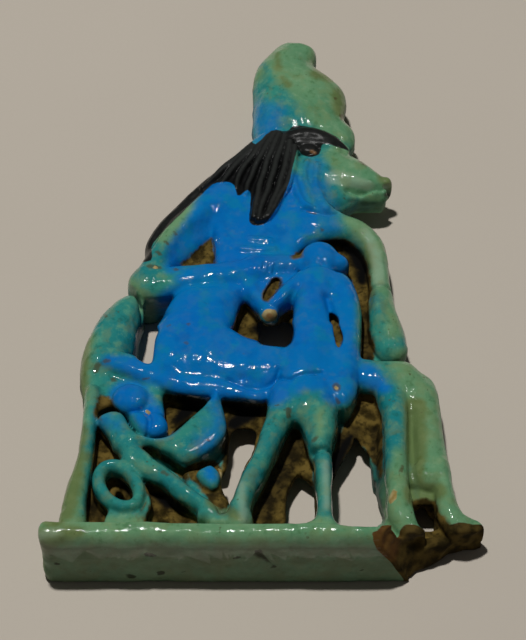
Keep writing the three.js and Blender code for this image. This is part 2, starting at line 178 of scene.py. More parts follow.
def along(x, y, path):
    """Distance from each place to a path of rows [x, y, ...], and the other numbers of the nearest row."""
    best = np.full(np.broadcast(x, y).shape, 99.0)
    rest = [np.zeros_like(best) for _ in path[0][2:]]
    for a, b in zip(path[:-1], path[1:]):
        dx, dy = b[0] - a[0], b[1] - a[1]
        s = np.clip(((x - a[0]) * dx + (y - a[1]) * dy) / max(dx * dx + dy * dy, 1e-9), 0, 1)
        gap = np.hypot(x - a[0] - s * dx, y - a[1] - s * dy)
        if rest:
            gap = gap - (a[2] + (b[2] - a[2]) * s)
        closer = gap < best
        best = np.where(closer, gap, best)
        for i, row in enumerate(rest):
            rest[i] = np.where(closer, a[2 + i] + (b[2 + i] - a[2 + i]) * s, row)
    return best, rest


def spread(points):
    p = np.asarray(points, float)
    r = p[:, 2].max() if p.shape[1] > 2 else 0
    return p[:, 0].min() - r, p[:, 0].max() + r, p[:, 1].min() - r, p[:, 1].max() + r


def limb(circles, top, mid, fillet=0.35, **back):
    """A limb through circles [x, y, radius], with one top level or one for each circle."""
    tops = top if isinstance(top, (list, tuple)) else [top] * len(circles)
    path = smooth([[*c, t] for c, t in zip(circles, tops)])
    patch = Patch(*spread(path))
    d, (r, t) = along(patch.x, patch.y, path)
    patch.add(arch(patch, d, r, t, mid, **back), fillet)


def dome(x, y, rx, ry, top, mid, fillet=0.35, **back):
    """An oval dome."""
    patch = Patch(x - rx, x + rx, y - ry, y + ry)
    u, v = (patch.x - x) / rx, (patch.y - y) / ry
    k0 = np.hypot(u, v)
    k1 = np.hypot(u / rx, v / ry)
    small = min(rx, ry)
    d = np.where(k0 > 0.05, k0 * (k0 - 1) / np.maximum(k1, 1e-4), -small)
    patch.add(arch(patch, d, small, top, mid, **back), fillet)


def outline(x, y, points):
    """Signed distance to a closed outline, less than zero inside."""
    x, y = np.broadcast_arrays(x, y)
    gap = np.full(x.shape, 99.0)
    inside = np.zeros(x.shape, bool)
    for a, b in zip(points, np.roll(points, -1, 0)):
        dx, dy = b[0] - a[0], b[1] - a[1]
        s = np.clip(((x - a[0]) * dx + (y - a[1]) * dy) / max(dx * dx + dy * dy, 1e-9), 0, 1)
        gap = np.minimum(gap, np.hypot(x - a[0] - s * dx, y - a[1] - s * dy))
        if dy:
            inside ^= ((a[1] > y) != (b[1] > y)) & (x < a[0] + dx * (y - a[1]) / dy)
    return np.where(inside, -gap, gap)


def body(rows, mid, fillet=0.35, **back):
    """A form given by its left and right edges at rising heights: rows of [y, left, right, top]."""
    p = smooth(rows)
    edge = np.vstack([p[:, [2, 0]], p[::-1][:, [1, 0]]])
    patch = Patch(*spread(edge))
    d = outline(patch.x, patch.y, edge)
    half = np.interp(patch.y, p[:, 0], (p[:, 2] - p[:, 1]) / 2)
    top = np.interp(patch.y, p[:, 0], p[:, 3])
    patch.add(arch(patch, d, half, top, mid, **back), fillet)


def plate(points, top, fillet=0.3):
    """A ground between the figures."""
    p = np.asarray(points, float)
    patch = Patch(*spread(p))
    patch.add(arch(patch, outline(patch.x, patch.y, p), 0.5, top, top - 0.5), fillet)


def loop(points, steps=4):
    """A smooth closed outline through the given corners."""
    n = len(points)
    wrapped = [points[i % n] for i in range(-2, n + 2)]
    rows = smooth(wrapped, steps)
    return rows[2 * steps : (2 + n) * steps]


def shape(points, top, width, drop, fillet=0.35):
    """A form with a level top inside a smooth outline, that rounds off by drop over width at its edge."""
    edge = loop(points)
    patch = Patch(*spread(edge))
    d = outline(patch.x, patch.y, edge)
    patch.add(arch(patch, d, width, top, top - drop), fillet)


def sight_slope(y):
    """How far along Y the camera's line of sight runs for each millimetre of height."""
    return np.interp(y, SIGHT_Y, SIGHT_SLOPE)


def hole(points, fillet=0.5):
    """An opening right through."""
    edge = loop(points)
    patch = Patch(*spread(edge))
    f = outline(patch.x, patch.y, edge)[:, :, None] + 0 * patch.z
    patch.cut(f.astype(np.float32), fillet)


def sight_hole(points, fillet=0.4, floor=UNDER):
    """A hole along the camera's line of sight down to floor, its outline read on the level READ_LEVEL."""
    edge = loop(points)
    x0, x1, y0, y1 = spread(edge)
    patch = Patch(x0, x1, y0 - 4, y1 + 7)
    seen_y = patch.y[:, :, None] - (READ_LEVEL - patch.z) * sight_slope(patch.y[:, :, None])
    f = outline(patch.x[:, :, None], seen_y, edge)
    patch.cut(np.maximum(f, floor - patch.z).astype(np.float32), fillet)


def groove(points, wide, deep, floor):
    """A line cut into the front along a smooth path."""
    path = smooth(points)
    patch = Patch(*spread(path[:, :2]))
    d, _ = along(patch.x, patch.y, path[:, :2])
    patch.sink(deep * np.exp(-((d / wide) ** 2)), floor)


def ridge(points, wide, high, floor):
    groove(points, wide, -high, floor)


def mix(a, b, t):
    return a + (b - a) * t


def lattice(pitch, seed):
    """Smooth noise over the whole grid, about -1 to 1, with waves of the given pitch."""
    rng = np.random.default_rng(seed)
    spans = [(a[-1] - a[0]) / pitch for a in AXES]
    out = rng.standard_normal([int(s) + 4 for s in spans])
    for axis, a in enumerate(AXES):
        u = (a - a[0]) / pitch + 1
        i = u.astype(int)
        t = u - i
        weights = np.zeros((len(a), out.shape[axis]))
        spline = (
            (1 - t) ** 3 / 6,
            (3 * t**3 - 6 * t**2 + 4) / 6,
            (-3 * t**3 + 3 * t**2 + 3 * t + 1) / 6,
            t**3 / 6,
        )
        for k, w in enumerate(spline):
            weights[np.arange(len(a)), i - 1 + k] += w
        out = np.moveaxis(np.tensordot(weights, np.moveaxis(out, axis, 0), 1), 0, axis)
    return (out / out.std() * 0.5).astype(np.float32)


# Base slab


def rounded(a, b, r):
    """What is inside both a and b, with the edge between them rounded to radius r."""
    outside = np.hypot(np.maximum(a + r, 0), np.maximum(b + r, 0))
    return np.minimum(np.maximum(a, b), -r) + outside


def carve_base():
    patch = Patch(BASE_LEFT, BASE_RIGHT, 0, BASE_RISE)
    t = (patch.x - BASE_LEFT) / (BASE_RIGHT - BASE_LEFT)
    rise = (BASE_RISE + (BASE_RISE_RIGHT - BASE_RISE) * t)[:, :, None]
    y = patch.y[:, :, None]
    bulge = 0.55 * np.clip(1 - ((y - 1.5) / 1.7) ** 2, 0, 1) + 0.35 * ramp(patch.z, 3, 8)
    left = BASE_LEFT + 0.75 - bulge - patch.x[:, :, None]
    front = patch.z - BASE_DEPTH + BASE_SAG * np.maximum(BASE_SAG_FROM - y, 0) ** 2
    lower = rounded(-y, front, BASE_ROUND_LOW)
    upper = rounded(y - rise, front, BASE_ROUND_TOP)
    f = rounded(np.maximum(lower, upper), left, BASE_ROUND_END)
    patch.add(f.astype(np.float32), 0.3)


# Throne


def carve_throne():
    body(
        [
            [22.2, -20.5, -19.2, 4.6],
            [24.4, -20.9, -18.2, 5.6],
            [26.6, -21.1, -16.6, 6.3],
            [28.6, -20.9, -15.1, 6.7],
            [31.2, -20.1, -14.7, 6.9],
            [33.8, -19.0, -14.3, 6.8],
            [35.9, -17.6, -14.0, 6.3],
            [37.4, -16.2, -14.6, 5.2],
        ],
        3.4,
    )
    shape(
        [
            [-17.4, 27.3], [-15, 27.2], [-13, 26.4], [-4, 26.2], [1.5, 26], [1.8, 23], [0, 20.9],
            [-3.4, 21.4], [-6.4, 22.2], [-9.6, 22.9], [-11.6, 23], [-14, 24.2], [-17.4, 25.4],
        ],
        PANEL, 0.9, 0.8, 0.9,
    )
    limb(
        [[-18.6, 27.0, 1.0], [-16.2, 26.1, 1.2], [-12.8, 24.6, 1.4], [-10.0, 23.7, 1.5], [-7.3, 23.3, 1.5], [-3, 23, 1.5]],
        [6.5, 6.8, 6.8, 6.7, 6.6, 6.4],
        5.4,
        0.9,
    )
    shape(
        [[-19.4, 19.6], [-19.6, 24.6], [-17, 26], [-12, 24.6], [-11.4, 21], [-12.4, 19], [-15, 18.8], [-17, 20.6]],
        5.6, 0.8, 0.9, 0.7,
    )
    limb([[-19.3, 22.4, 0.95], [-19.6, 17, 0.85], [-19.9, 13, 0.95], [-20.6, 8, 1.25], [-21, 2.6, 1.7]], 6.3, 4.6)


RING_CENTRE = (-15.9, 9.1)
RING_ACROSS = 1.95
RING_ALONG = 3.0
RING_LEAN = math.radians(31)


def ring_path():
    rows = []
    for i in range(19):
        t = i / 18 * 2 * math.pi
        across, up = RING_ACROSS * math.cos(t), RING_ALONG * math.sin(t)
        x = RING_CENTRE[0] + across * math.cos(RING_LEAN) - up * math.sin(RING_LEAN)
        y = RING_CENTRE[1] + across * math.sin(RING_LEAN) + up * math.cos(RING_LEAN)
        rows.append([x, y, 0.78])
    return rows


def carve_bird():
    dome(-15, 21.2, 2.2, 2.0, 7.1, 5.0)
    limb([[-12.8, 23.4, 1.0], [-12.3, 21, 0.95], [-12.0, 18.8, 0.9]], 6.1, 5, 0.5)
    shape(
        [[-15.1, 18.6], [-13.4, 19.0], [-11.6, 18.9], [-10.7, 17.6], [-10.9, 16.4], [-12.2, 15.8], [-13.8, 16.2]],
        6.7, 1.2, 1.5,
    )
    groove([[-13.1, 18.7], [-12.7, 17.4], [-12.9, 16]], 0.3, 0.45, 5.4)
    shape(
        [
            [-18.7, 18.2], [-17.2, 19.2], [-15.9, 18.9], [-15.2, 17.6], [-14.2, 16.2], [-12.4, 15.5], [-10.9, 15.7],
            [-9.7, 16.6], [-8.2, 18.3], [-6.9, 19.8], [-5.9, 21.2], [-5.4, 22.4], [-4.9, 21.8], [-4.6, 20.2],
            [-4.2, 18.6], [-4.1, 17.0], [-4.5, 15.4], [-5.4, 14.2], [-6.7, 13.1], [-8.5, 12.3], [-9.9, 13.0],
            [-11.2, 13.8], [-12.6, 14.6], [-14.6, 13.9], [-16.3, 14.3], [-17.4, 16.2],
        ],
        6.7, 1.4, 1.6,
    )
    shape(
        [
            [-16.6, 14.8], [-14.8, 15.0], [-13.2, 13.9], [-11.2, 12.0], [-9.6, 10.5], [-8.1, 8.9], [-6.6, 7.6],
            [-5.0, 6.1], [-4.8, 4.4], [-7.0, 4.6], [-7.4, 6.0], [-9.6, 7.5], [-11, 9.0], [-12.6, 9.9],
            [-14.2, 10.8], [-15.6, 12.0], [-15.9, 13.4],
        ],
        6.6, 1.3, 1.6, 0.45,
    )
    limb(ring_path(), 6.3, 4.8)
    shape([[-17.0, 6.2], [-15.2, 6.6], [-13.3, 6.0], [-12.8, 2.6], [-17.2, 2.6]], 5.3, 0.7, 1.0)
    shape([[-7.4, 10.6], [-6.5, 11.7], [-5.6, 11.9], [-4.8, 10.6], [-5.0, 9.0], [-5.9, 8.8]], 6.2, 0.9, 1.2)
    shape([[-9.0, 11.2], [-7.0, 12.2], [-4.5, 12.3], [-4.2, 9.6], [-3.7, 6.6], [-5.0, 5.6], [-7.4, 8.4]], 4.9, 0.6, 1.0)
    limb([[-13.8, 10.2, 0.4], [-12.9, 8.8, 0.38], [-12.6, 7.2, 0.4], [-13.2, 5.2, 0.45]], 5.3, 4.2)


# Goddess


def carve_goddess():
    shape(
        [
            [-8, 36.2], [-2.6, 36], [1, 37.6], [3.9, 38.4], [4.2, 42], [4.6, 43.8], [7, 45.6], [9.4, 46.4],
            [9.6, 49.2], [8.4, 51], [7.4, 54.8], [5.6, 57.6], [-3, 57.6], [-6, 55], [-6.2, 51], [-5.9, 46], [-5.9, 40],
        ],
        6.5, 1.5, 1.7, 0.3,
    )
    shape(
        [
            [-13, 24.6], [-13.2, 26.6], [-12.8, 29.4], [-12.3, 31.6], [-11.4, 34.2], [-10.4, 36.2], [-9.2, 37.5],
            [-6, 38], [-3, 37.6], [-2.2, 36.6], [-2.9, 34.4], [-3.5, 32.2], [-4.2, 30.7], [-1, 29.2], [2.6, 28.4],
            [3, 24], [0, 22.8], [-5, 23.4],
        ],
        7.3, 3.0, 2.4, 0.7,
    )
    limb([[-8.2, 29, 4.6], [-4, 27.2, 3.2], [0.5, 25.9, 2.6]], [7.8, 7.5, 7.2], 5.4, 1.2)
    limb([[0.5, 25.6, 2.2], [10, 25.1, 2.1], [13, 24.6, 2.2], [15.6, 24.3, 2.3]], [6.9, 6.8, 6.9, 6.6], 4.6, 0.8)
    limb(
        [
            [4.5, 48.3, 2.6],
            [8.2, 48.0, 2.0],
            [11.2, 47.2, 1.75],
            [13.1, 45.2, 1.55],
            [13.6, 42, 1.35],
            [13.7, 38.6, 1.3],
        ],
        [6.7, 6.7, 6.4, FAR_LIMB, FAR_LIMB, FAR_LIMB],
        3.8,
        0.8,
    )
    limb([[13.8, 38.4, 1.4], [13.9, 35, 1.7], [14.3, 31.6, 2.1], [14.8, 29.6, 1.9]], [5.9, 6.2, 6.3, 5.9], 3.8, 0.25)
    ridge([[13.2, 36], [13.6, 33], [14.6, 30.4]], 0.7, 0.35, 5)
    limb([[-3.6, 50.8, 2.9], [-5.6, 51.6, 2.6]], 7.0, 4.6, 1.4)
    limb(
        [[-5.2, 51.9, 2.5], [-7.4, 49.9, 2.2], [-9.6, 47.4, 1.9], [-11.3, 44.6, 1.7], [-12.6, 41.9, 1.7], [-13.3, 40.2, 1.85], [-13.7, 38.9, 2.1]],
        [7.2, 7.4, 7.4, 7.3, 7.1, 6.9, 6.8],
        3.9,
        0.6,
    )
    limb([[-6.4, 49.6, 1.8], [-8.2, 46.6, 1.9], [-10.4, 43.4, 1.5], [-11.6, 41.4, 1.0]], 5.9, 3.0, 1.2)
    limb(
        [[-13.6, 38.6, 2.2], [-10.9, 38.7, 2.0], [-7.4, 39.0, 1.95], [-3.4, 39.5, 1.85], [-0.8, 40.1, 1.9]],
        [6.9, 7.1, 7.3, 7.5, 7.5],
        5.2,
        0.6,
        back=0.6,
        round_back=True,
    )
    limb([[-0.8, 40.2, 1.9], [1.6, 40.7, 1.6], [4.0, 41.2, 1.2]], [7.7, 7.5, 6.9], 5.2, 0.6)
    limb([[-2.2, 39.2, 1.3], [-0.9, 36.4, 1.15], [0.3, 34.6, 1.0]], [7.0, 6.9, 6.8], 4.8, 0.6)
    limb([[14.4, 18, 1.6], [14.0, 5, 1.4], [14.4, 2.6, 1.5]], 5.0, 1.4, 0.9)
    limb([[16.4, 23, 1.4], [16.5, 16, 1.4], [16.6, 10.4, 1.1]], 5.3, 3.0, 1.0)
    limb([[15.4, 24.4, 2.5], [17.4, 22.4, 2.3]], [6.5, 6.1], 4, 0.9)
    limb([[17.2, 23.2, 2.6], [18.0, 20, 2.25], [18.4, 16, 2.05], [18.8, 11.2, 2.05]], FAR_LIMB, 3.8, 0.5)
    limb(
        [[19.8, 12.4, 0.95], [20.2, 7.6, 1.2], [20.8, 5.4, 1.5], [21.8, 4.6, 1.6], [23.0, 4.6, 1.3]],
        [FAR_LIMB, 5.6, 5.4, 5.0, 4.2],
        3.4,
    )
    limb(
        [[14.6, 22.8, 1.9], [15, 18.4, 1.5], [14.9, 12, 1.45], [15.0, 8, 1.4], [15.2, 5.2, 1.6], [16.2, 3.4, 1.5]],
        [6.7, 6.8, 6.8, 6.8, 6.6, 6.0],
        4.4,
    )


PLEATS = [
    [[4.3, 58.0], [3.8, 55.5], [4.0, 53.2], [4.7, 50.9], [5.7, 49.8]],
    [[5.4, 57.3], [5.0, 55.2], [5.7, 52.5], [6.6, 50.6], [7.6, 49.4]],
    [[6.6, 56.6], [6.4, 53.6], [7.0, 51.6], [7.9, 49.9]],
]


def carve_head():
    limb([[4.8, 56.6, 3.2], [7.6, 57.0, 3.8]], [6.6, 6.8], 4.0, 0.8)
    limb(
        [[8.2, 56.8, 3.8], [10.4, 56.2, 2.9], [12.2, 55.2, 2.3], [13.6, 54.6, 1.8], [14.6, 54.5, 1.15]],
        [6.9, 7.0, 6.8, 6.4, 6.0],
        4.2,
        0.7,
        back=1.9,
        round_back=True,
    )
    limb(
        [[7.2, 52.9, 2.8], [9.6, 53.4, 1.85], [11.8, 53.6, 1.05], [14.3, 53.5, 0.75]],
        [6.7, 6.1, 5.2, 4.9],
        3.6,
        0.5,
        back=1.8,
        round_back=True,
    )
    dome(15.0, 55.1, 0.85, 0.8, 6.1, 4.2, 0.3, back=2.4, round_back=True)
    groove([[10.2, 53.3], [12.2, 53.4], [14.4, 53.8]], 0.35, 0.55, 3.4)
    hole([[17, 54.9], [15.3, 54.6], [14.6, 54.2], [15.2, 53.8], [17, 53.5]], 0.15)
    for path in PLEATS:
        ridge(path, 0.42, 0.4, 5)
    groove([[4.9, 49.5], [6.4, 49.0], [7.8, 48.6], [8.9, 48.9]], 0.3, 0.5, 5)
    dome(5.6, 59.5, 1.2, 0.95, 7.0, 6.0, 0.3)


def carve_crown():
    body(
        [
            [60.6, -0.2, 9.6, 6.0],
            [61.8, -0.9, 11.0, 6.4],
            [63.2, -1.2, 11.4, 6.6],
            [64.8, -1.3, 11.2, 6.8],
            [66.2, -1.3, 10.2, 6.9],
            [67.6, -1.3, 10.2, 7],
            [69.2, -1.3, 10.5, 7],
            [70.8, -1.3, 10.4, 7],
            [72.4, -1.3, 9.7, 6.9],
            [74.0, -1.2, 8.4, 6.8],
            [75.4, -0.9, 7.0, 6.6],
            [76.4, -0.4, 6.5, 6.5],
            [77.6, 0.4, 6.9, 6.4],
            [78.7, 1.2, 6.8, 6.3],
            [79.5, 2.0, 6.1, 6.0],
            [80.1, 3.0, 4.9, 5.5],
        ],
        3.6,
        back=UNDER,
        round_back=True,
    )
    ridge([[0.4, 63], [0.8, 68], [1.0, 73], [2.6, 77]], 0.9, 0.25, 5)
    groove([[3.4, 70.4], [5.0, 69.0], [6.2, 67.2], [7.2, 65.6]], 0.5, 0.16, 5)


# The locks of the wig, each a path [x, y] from its root to its tip
LOCKS = [
    [[3.9, 59.5], [3.7, 57.1], [3.2, 54.1], [2.3, 51.8], [1.4, 49.5], [0.6, 47.9]],
    [[3.3, 60.4], [2.7, 56.4], [1.7, 52.0], [0.7, 48.9], [0.1, 47.6]],
    [[2.7, 61.3], [1.6, 57.0], [0.6, 52.4], [-0.3, 49.1], [-0.6, 47.5]],
    [[2.0, 61.8], [0.6, 57.4], [-0.4, 53.0], [-0.9, 49.7], [-1.2, 48.0]],
    [[1.4, 61.9], [-0.5, 57.6], [-1.6, 54.1], [-2.1, 51.6]],
    [[0.9, 62.0], [-1.6, 57.7], [-3.0, 54.7], [-3.2, 52.6]],
    [[0.4, 61.7], [-2.6, 57.8], [-4.2, 55.2], [-5.1, 53.6]],
    [[-0.2, 61.2], [-3.3, 57.9], [-5.2, 55.7], [-7.4, 52.8]],
]
LOCK_RADIUS = 0.6
LOCK_WAVE = 0.05
WAVE_PACE = 1.7


def lock_path(index):
    """One lock as rows [x, y, radius]: a little wavy, and thinner towards its tip."""
    path = smooth(LOCKS[index])
    down = np.linspace(0, 1, len(path))
    wave = LOCK_WAVE * np.sin(WAVE_PACE * path[:, 1] + 0.6 * index) * np.minimum(down * 4, 1)
    return np.column_stack([path[:, 0] + wave, path[:, 1], LOCK_RADIUS * (1 - 0.35 * down**2)])


def carve_wig():
    limb([[0.4, 61.2, 1.8], [3.4, 62.0, 1.5]], 6.6, 4.6)
    limb(
        [[-1.0, 59.9, 1.2], [-4.3, 56.7, 1.2], [-7.4, 53.4, 1.15], [-11.1, 48.4, 1.1], [-13.0, 44.9, 1.0], [-13.3, 43.3, 0.8]],
        [6.2, 6.4, 6.4, 6.6, 6.6, 6.2],
        4,
        0.25,
    )
    limb([[-0.4, 58.6, 2.2], [-3.2, 56.2, 2.0]], 6.3, 4.6, 0.3)
    limb([[1.8, 60, 2.4], [1.2, 55, 2.2], [0.4, 51, 1.4], [-0.2, 49, 0.9]], 6.6, 5.2, 0.2)
    for index in range(len(LOCKS)):
        path = lock_path(index)
        patch = Patch(*spread(path))
        d, (radius,) = along(patch.x, patch.y, path)
        top = 7.45 - 0.05 * index
        patch.add(arch(patch, d, radius, top, top - 1.3), 0.06)
    limb([[4.4, 60.9, 0.9], [6.3, 60.9, 0.9], [7.9, 60.4, 0.8], [9.2, 59.6, 0.5]], 6.9, 5.4, 0.3, back=1.8, round_back=True)
    limb(
        [[3.2, 61.6, 1.0], [4.8, 62.1, 1.05], [6.5, 62.0, 1.05], [8.3, 61.1, 0.95], [10.0, 59.9, 0.65]],
        [7.2, 7.3, 7.3, 7.0, 6.4],
        6.0,
        0.25,
        back=1.5,
        round_back=True,
    )


# Child


def carve_child():
    shape(
        [
            [4.2, 38.4], [5.6, 39.4], [9.2, 39.6], [10.4, 38.2], [11.2, 35.6], [11.3, 31], [11, 26], [10.6, 21.6],
            [9.4, 19.4], [7.8, 20], [4, 20.4], [1, 20.6], [1.6, 23.4], [2.3, 25.8], [3.1, 29.4], [3.8, 33], [3.7, 36],
        ],
        7.5, 2.0, 2.0, 0.4,
    )
    limb([[6.4, 38.4, 1.9], [6.0, 35.4, 2.1], [5.5, 31, 2.0], [5.1, 27, 2.3], [5.0, 24.6, 2.4]], [8.1, 8.1, 7.9, 8.0, 7.9], 6.2, 1.0)
    limb([[4.3, 22.6, 2.9], [5.0, 20.4, 3.0]], 7.7, 5.4, 0.8)
    limb([[6.1, 21, 2.5], [6.4, 17, 1.9], [6.3, 13.9, 1.2]], 7.6, 5.0, 0.5)
    limb([[2.9, 21.4, 2.3], [1.7, 17.8, 1.5], [0.3, 13.6, 1.35], [-1.4, 9.4, 1.25], [-2.5, 6, 1.3], [-2.7, 3.6, 1.5]], NEAR, 5.2, 0.5)
    limb([[-2.4, 4.2, 1.3], [-5.2, 3.9, 0.9]], [7.0, 6.8], 5, 0.6)
    limb([[6.6, 14.4, 0.98], [6.8, 8, 0.98], [6.8, 5, 1.1], [6.9, 3.2, 1.6]], 7.1, 5)
    limb([[7.4, 3.2, 1.3], [5.2, 3.2, 0.9]], 6.8, 5, 0.6)
    limb([[4.7, 38.2, 1.5], [2.9, 36.5, 1.15], [1.3, 34.7, 1.0]], [7.8, 7.6, 7.2], 5.2, 0.6)
    limb([[8.8, 37.4, 1.7], [9.9, 34.6, 1.45], [10.1, 30, 1.2], [9.8, 26, 1.15], [9.2, 21.8, 1.2]], [7.7, 7.7, 7.6, 7.5, 7.2], 5.6, 0.5)
    dome(6.7, 41.7, 2.5, 2.6, 8.1, 5.0, 0.6)
    dome(9.1, 41.3, 1.2, 1.2, 7.1, 5, 0.8)
    shape([[-0.4, 38.8], [1.6, 39.6], [3.4, 38.4], [1.4, 34.8], [-0.2, 34.8]], 6.5, 0.8, 0.8, 0.7)
    dome(0.75, 33.6, 1.1, 1.0, 6.9, 5, 0.3, back=2.4, round_back=True)


def carve_grounds():
    plate([[-21, 2], [-19.9, 13], [-19.4, 26], [-4.6, 26], [-4.4, 17], [-5, 12], [-4, 7], [-4, 2]], GROUND)
    plate([[-13, 39], [-13, 44], [-6, 50], [-5, 50], [-5, 39]], GROUND + 1.6)
    plate([[-6, 26], [-6, 38], [-1.6, 38.6], [-0.5, 35], [-0.2, 33], [-0.6, 31.3], [-1.0, 26]], GROUND + 0.4)
    plate([[-3, 38], [-3, 42], [8, 46.6], [8, 40], [4.4, 36.4], [1.4, 34], [0, 34], [-2.2, 37.4]], GROUND + 1.0)
    plate([[4.4, 31], [2.8, 32.6], [2.4, 35.0], [2.6, 37], [5, 38]], GROUND + 0.6)
    plate([[8, 24], [8, 38], [10.6, 38.6], [13.8, 40], [13.8, 24]], GROUND + 1)
    plate([[6, 40], [6, 47], [9, 48.6], [12, 47.6], [14, 45], [14, 38], [8, 36]], GROUND)
    plate([[3, 22], [5, 22], [6, 12.8], [5.4, 11.8], [4, 13.0], [2.6, 10.4], [2.1, 2], [-3, 2], [-2, 8]], GROUND)
    plate([[9.8, 19.2], [9.8, 25], [16, 25], [16, 19.2]], GROUND + 0.4)
    plate([[-4.8, 21.5], [-5.0, 13.0], [-0.6, 13.0], [0.6, 16], [1.5, 21.5]], GROUND)
    plate([[7, 21], [7, 8.5], [9.0, 9.5], [12.6, 12], [14.5, 9], [14.5, 21]], GROUND)
    plate([[13, 1], [13, 3.2], [16.4, 4.4], [17.4, 5.2], [22.6, 5.7], [24, 5.5], [24, 4.4], [18, 1]], GROUND + 0.2)
    plate([[15.6, 7.6], [15.6, 12.4], [20.6, 12.4], [20.6, 8.8], [18.4, 7.8]], GROUND + 1.2)
    limb([[17.5, 11.5, 1.5], [19.2, 11.1, 1.5]], FAR_LIMB, 4.0, 0.4)


OPENINGS = [
    [[-10.0, 18.6], [-8.6, 20.4], [-6.8, 21.4], [-6.6, 20.0], [-8.2, 18.2], [-9.6, 17.0]],
    [[-12.0, 5.6], [-11.0, 6.2], [-9.6, 5.6], [-9.2, 4.4], [-11.8, 4.2]],
    [[-16.3, 10.4], [-15.7, 10.4], [-15.1, 9.0], [-15.3, 8.3], [-15.9, 8.4], [-16.3, 9.4]],
]

# Openings that show the floor, as the camera sees them
SEEN_THROUGH = [
    [[-12.2, 31.2], [-12.4, 29.6], [-12.6, 28], [-12.9, 26.2], [-14.2, 26.7], [-14.5, 28.0], [-14.4, 29.6], [-13.6, 31.2]],
    [[-0.6, 32.6], [0.4, 31.9], [1.6, 31.8], [2.4, 32.4], [3.4, 31.8], [3.5, 30.2], [2.8, 28.8], [-0.1, 28.9],
     [-0.6, 30.4]],
    [[-3.3, 16.4], [-0.8, 16.2], [-1.2, 13.4], [-2.1, 11.0], [-2.8, 8.9], [-3.5, 7.0], [-4.3, 7.2], [-4.7, 9.2],
     [-4.0, 11.5], [-4.0, 14.0]],
    [[2.7, 7.0], [3.2, 8.8], [4.0, 9.9], [5.1, 9.1], [5.7, 7.4], [5.8, 5.6], [5.2, 4.0], [3.0, 3.9]],
    [[10.4, 15.4], [11.3, 14.2], [12.2, 12.3], [12.5, 8], [13.2, 3.7], [8.5, 3.6], [7.7, 6.0], [7.6, 8.4], [8.3, 10.7],
     [9.5, 13.2]],
    [[16.8, 5.4], [17.8, 5.9], [18.4, 5.1], [19.0, 3.6], [18.4, 2.9], [17.1, 3.4]],
]

# Slots that show bare paste at their bottom
SLOTS = [
    [[0.0, 36.2], [1.1, 38.8], [1.9, 38.8], [1.8, 37.5], [0.6, 35.7]],
    [[8.0, 32.6], [8.5, 32.9], [9.0, 31.1], [9.2, 29.6], [8.8, 28.4], [8.3, 29.0]],
]
SLOT_FLOOR = 5.9

# Break under the feet: its lower edge in X against Z, then how far up it has eaten past that edge
BREAK_EDGE_Z = [0.6, 1.2, 3.9, 6.5, 8.2, 9.5]
BREAK_EDGE_X = [16.2, 15.85, 14.65, 13.0, 12.4, 12.0]
BREAK_PAST = [0, 0.6, 1.1, 2.2, 3.4, 4.7, 6.2, 7.9, 10]
BREAK_RISE = [0.4, 1.5, 2.0, 2.5, 3.1, 3.6, 4.2, 4.6, 4.9]
BREAK_LEAN = 0.2


def break_field(x, y, z):
    """Less than zero where the break has taken the slab away."""
    past = x - np.interp(z, BREAK_EDGE_Z, BREAK_EDGE_X)
    rise = np.interp(past, BREAK_PAST, BREAK_RISE) - BREAK_LEAN * z * ramp(past, 2, 5)
    return np.maximum(-past, (y - rise) * 0.8)


def carve_break():
    patch = Patch(11, BASE_RIGHT + 1, -1, 6)
    f = break_field(patch.x[:, :, None], patch.y[:, :, None], patch.z)
    rough = 0.32 * lattice(1.7, SEED + 1)[patch.at] + 0.2 * lattice(0.8, SEED + 2)[patch.at]
    patch.cut((f + np.minimum(rough, 0.4)).astype(np.float32), 0.1)


def carve_lines():
    groove([[-16.2, 38.0], [-15.0, 36.8], [-14.3, 35.4], [-14.0, 34.0]], 0.22, 0.9, 4.0)
    groove([[12.6, 38.1], [14, 38.2], [15.4, 38.0]], 0.22, 0.35, 4.6)
    groove([[5.0, 13.3], [6.2, 13.1], [7.5, 13.2]], 0.22, 0.5, 5.6)
    groove([[7.4, 34.8], [7.8, 33.2], [8.2, 31.6]], 0.5, 0.7, 5.5)
    groove([[1.9, 23.4], [2.5, 22.7], [3.3, 22.5], [4.2, 23.0], [6.6, 23.5]], 0.2, 0.45, 6.0)
    groove([[-4.0, 23.2], [-2.4, 22.5], [-0.4, 22.2], [1.2, 22.9], [1.9, 24.4]], 0.25, 0.35, 6.0)
    groove([[16.9, 19], [16.7, 14], [16.6, 9]], 0.5, 0.4, 4.0)
    ridge([[-1.6, 44.8], [-0.3, 44.6], [0.9, 44.5]], 0.45, 0.3, 5.6)
    ridge([[-2.8, 43.3], [-0.8, 43.0], [1.3, 43.1]], 0.4, 0.3, 5.6)
    for i in range(3):
        groove([[0.2 + 0.6 * i, 40.2 - 0.1 * i], [0.0 + 0.6 * i, 39.4 - 0.1 * i]], 0.18, 0.22, 5.6)


SPECKS = 60


def carve_pits():
    """Small pits left by bubbles in the glaze."""
    rng = np.random.default_rng(SEED + 3)
    for _ in range(SPECKS):
        x, y = rng.uniform(-22, 20), rng.uniform(0, 40)
        r = rng.uniform(0.25, 0.45)
        patch = Patch(x - r, x + r, y - r, y + r)
        d = np.hypot(patch.x - x, patch.y - y)
        patch.sink(0.35 * r * np.exp(-((d / r) ** 2) * 1.5), 4.5)


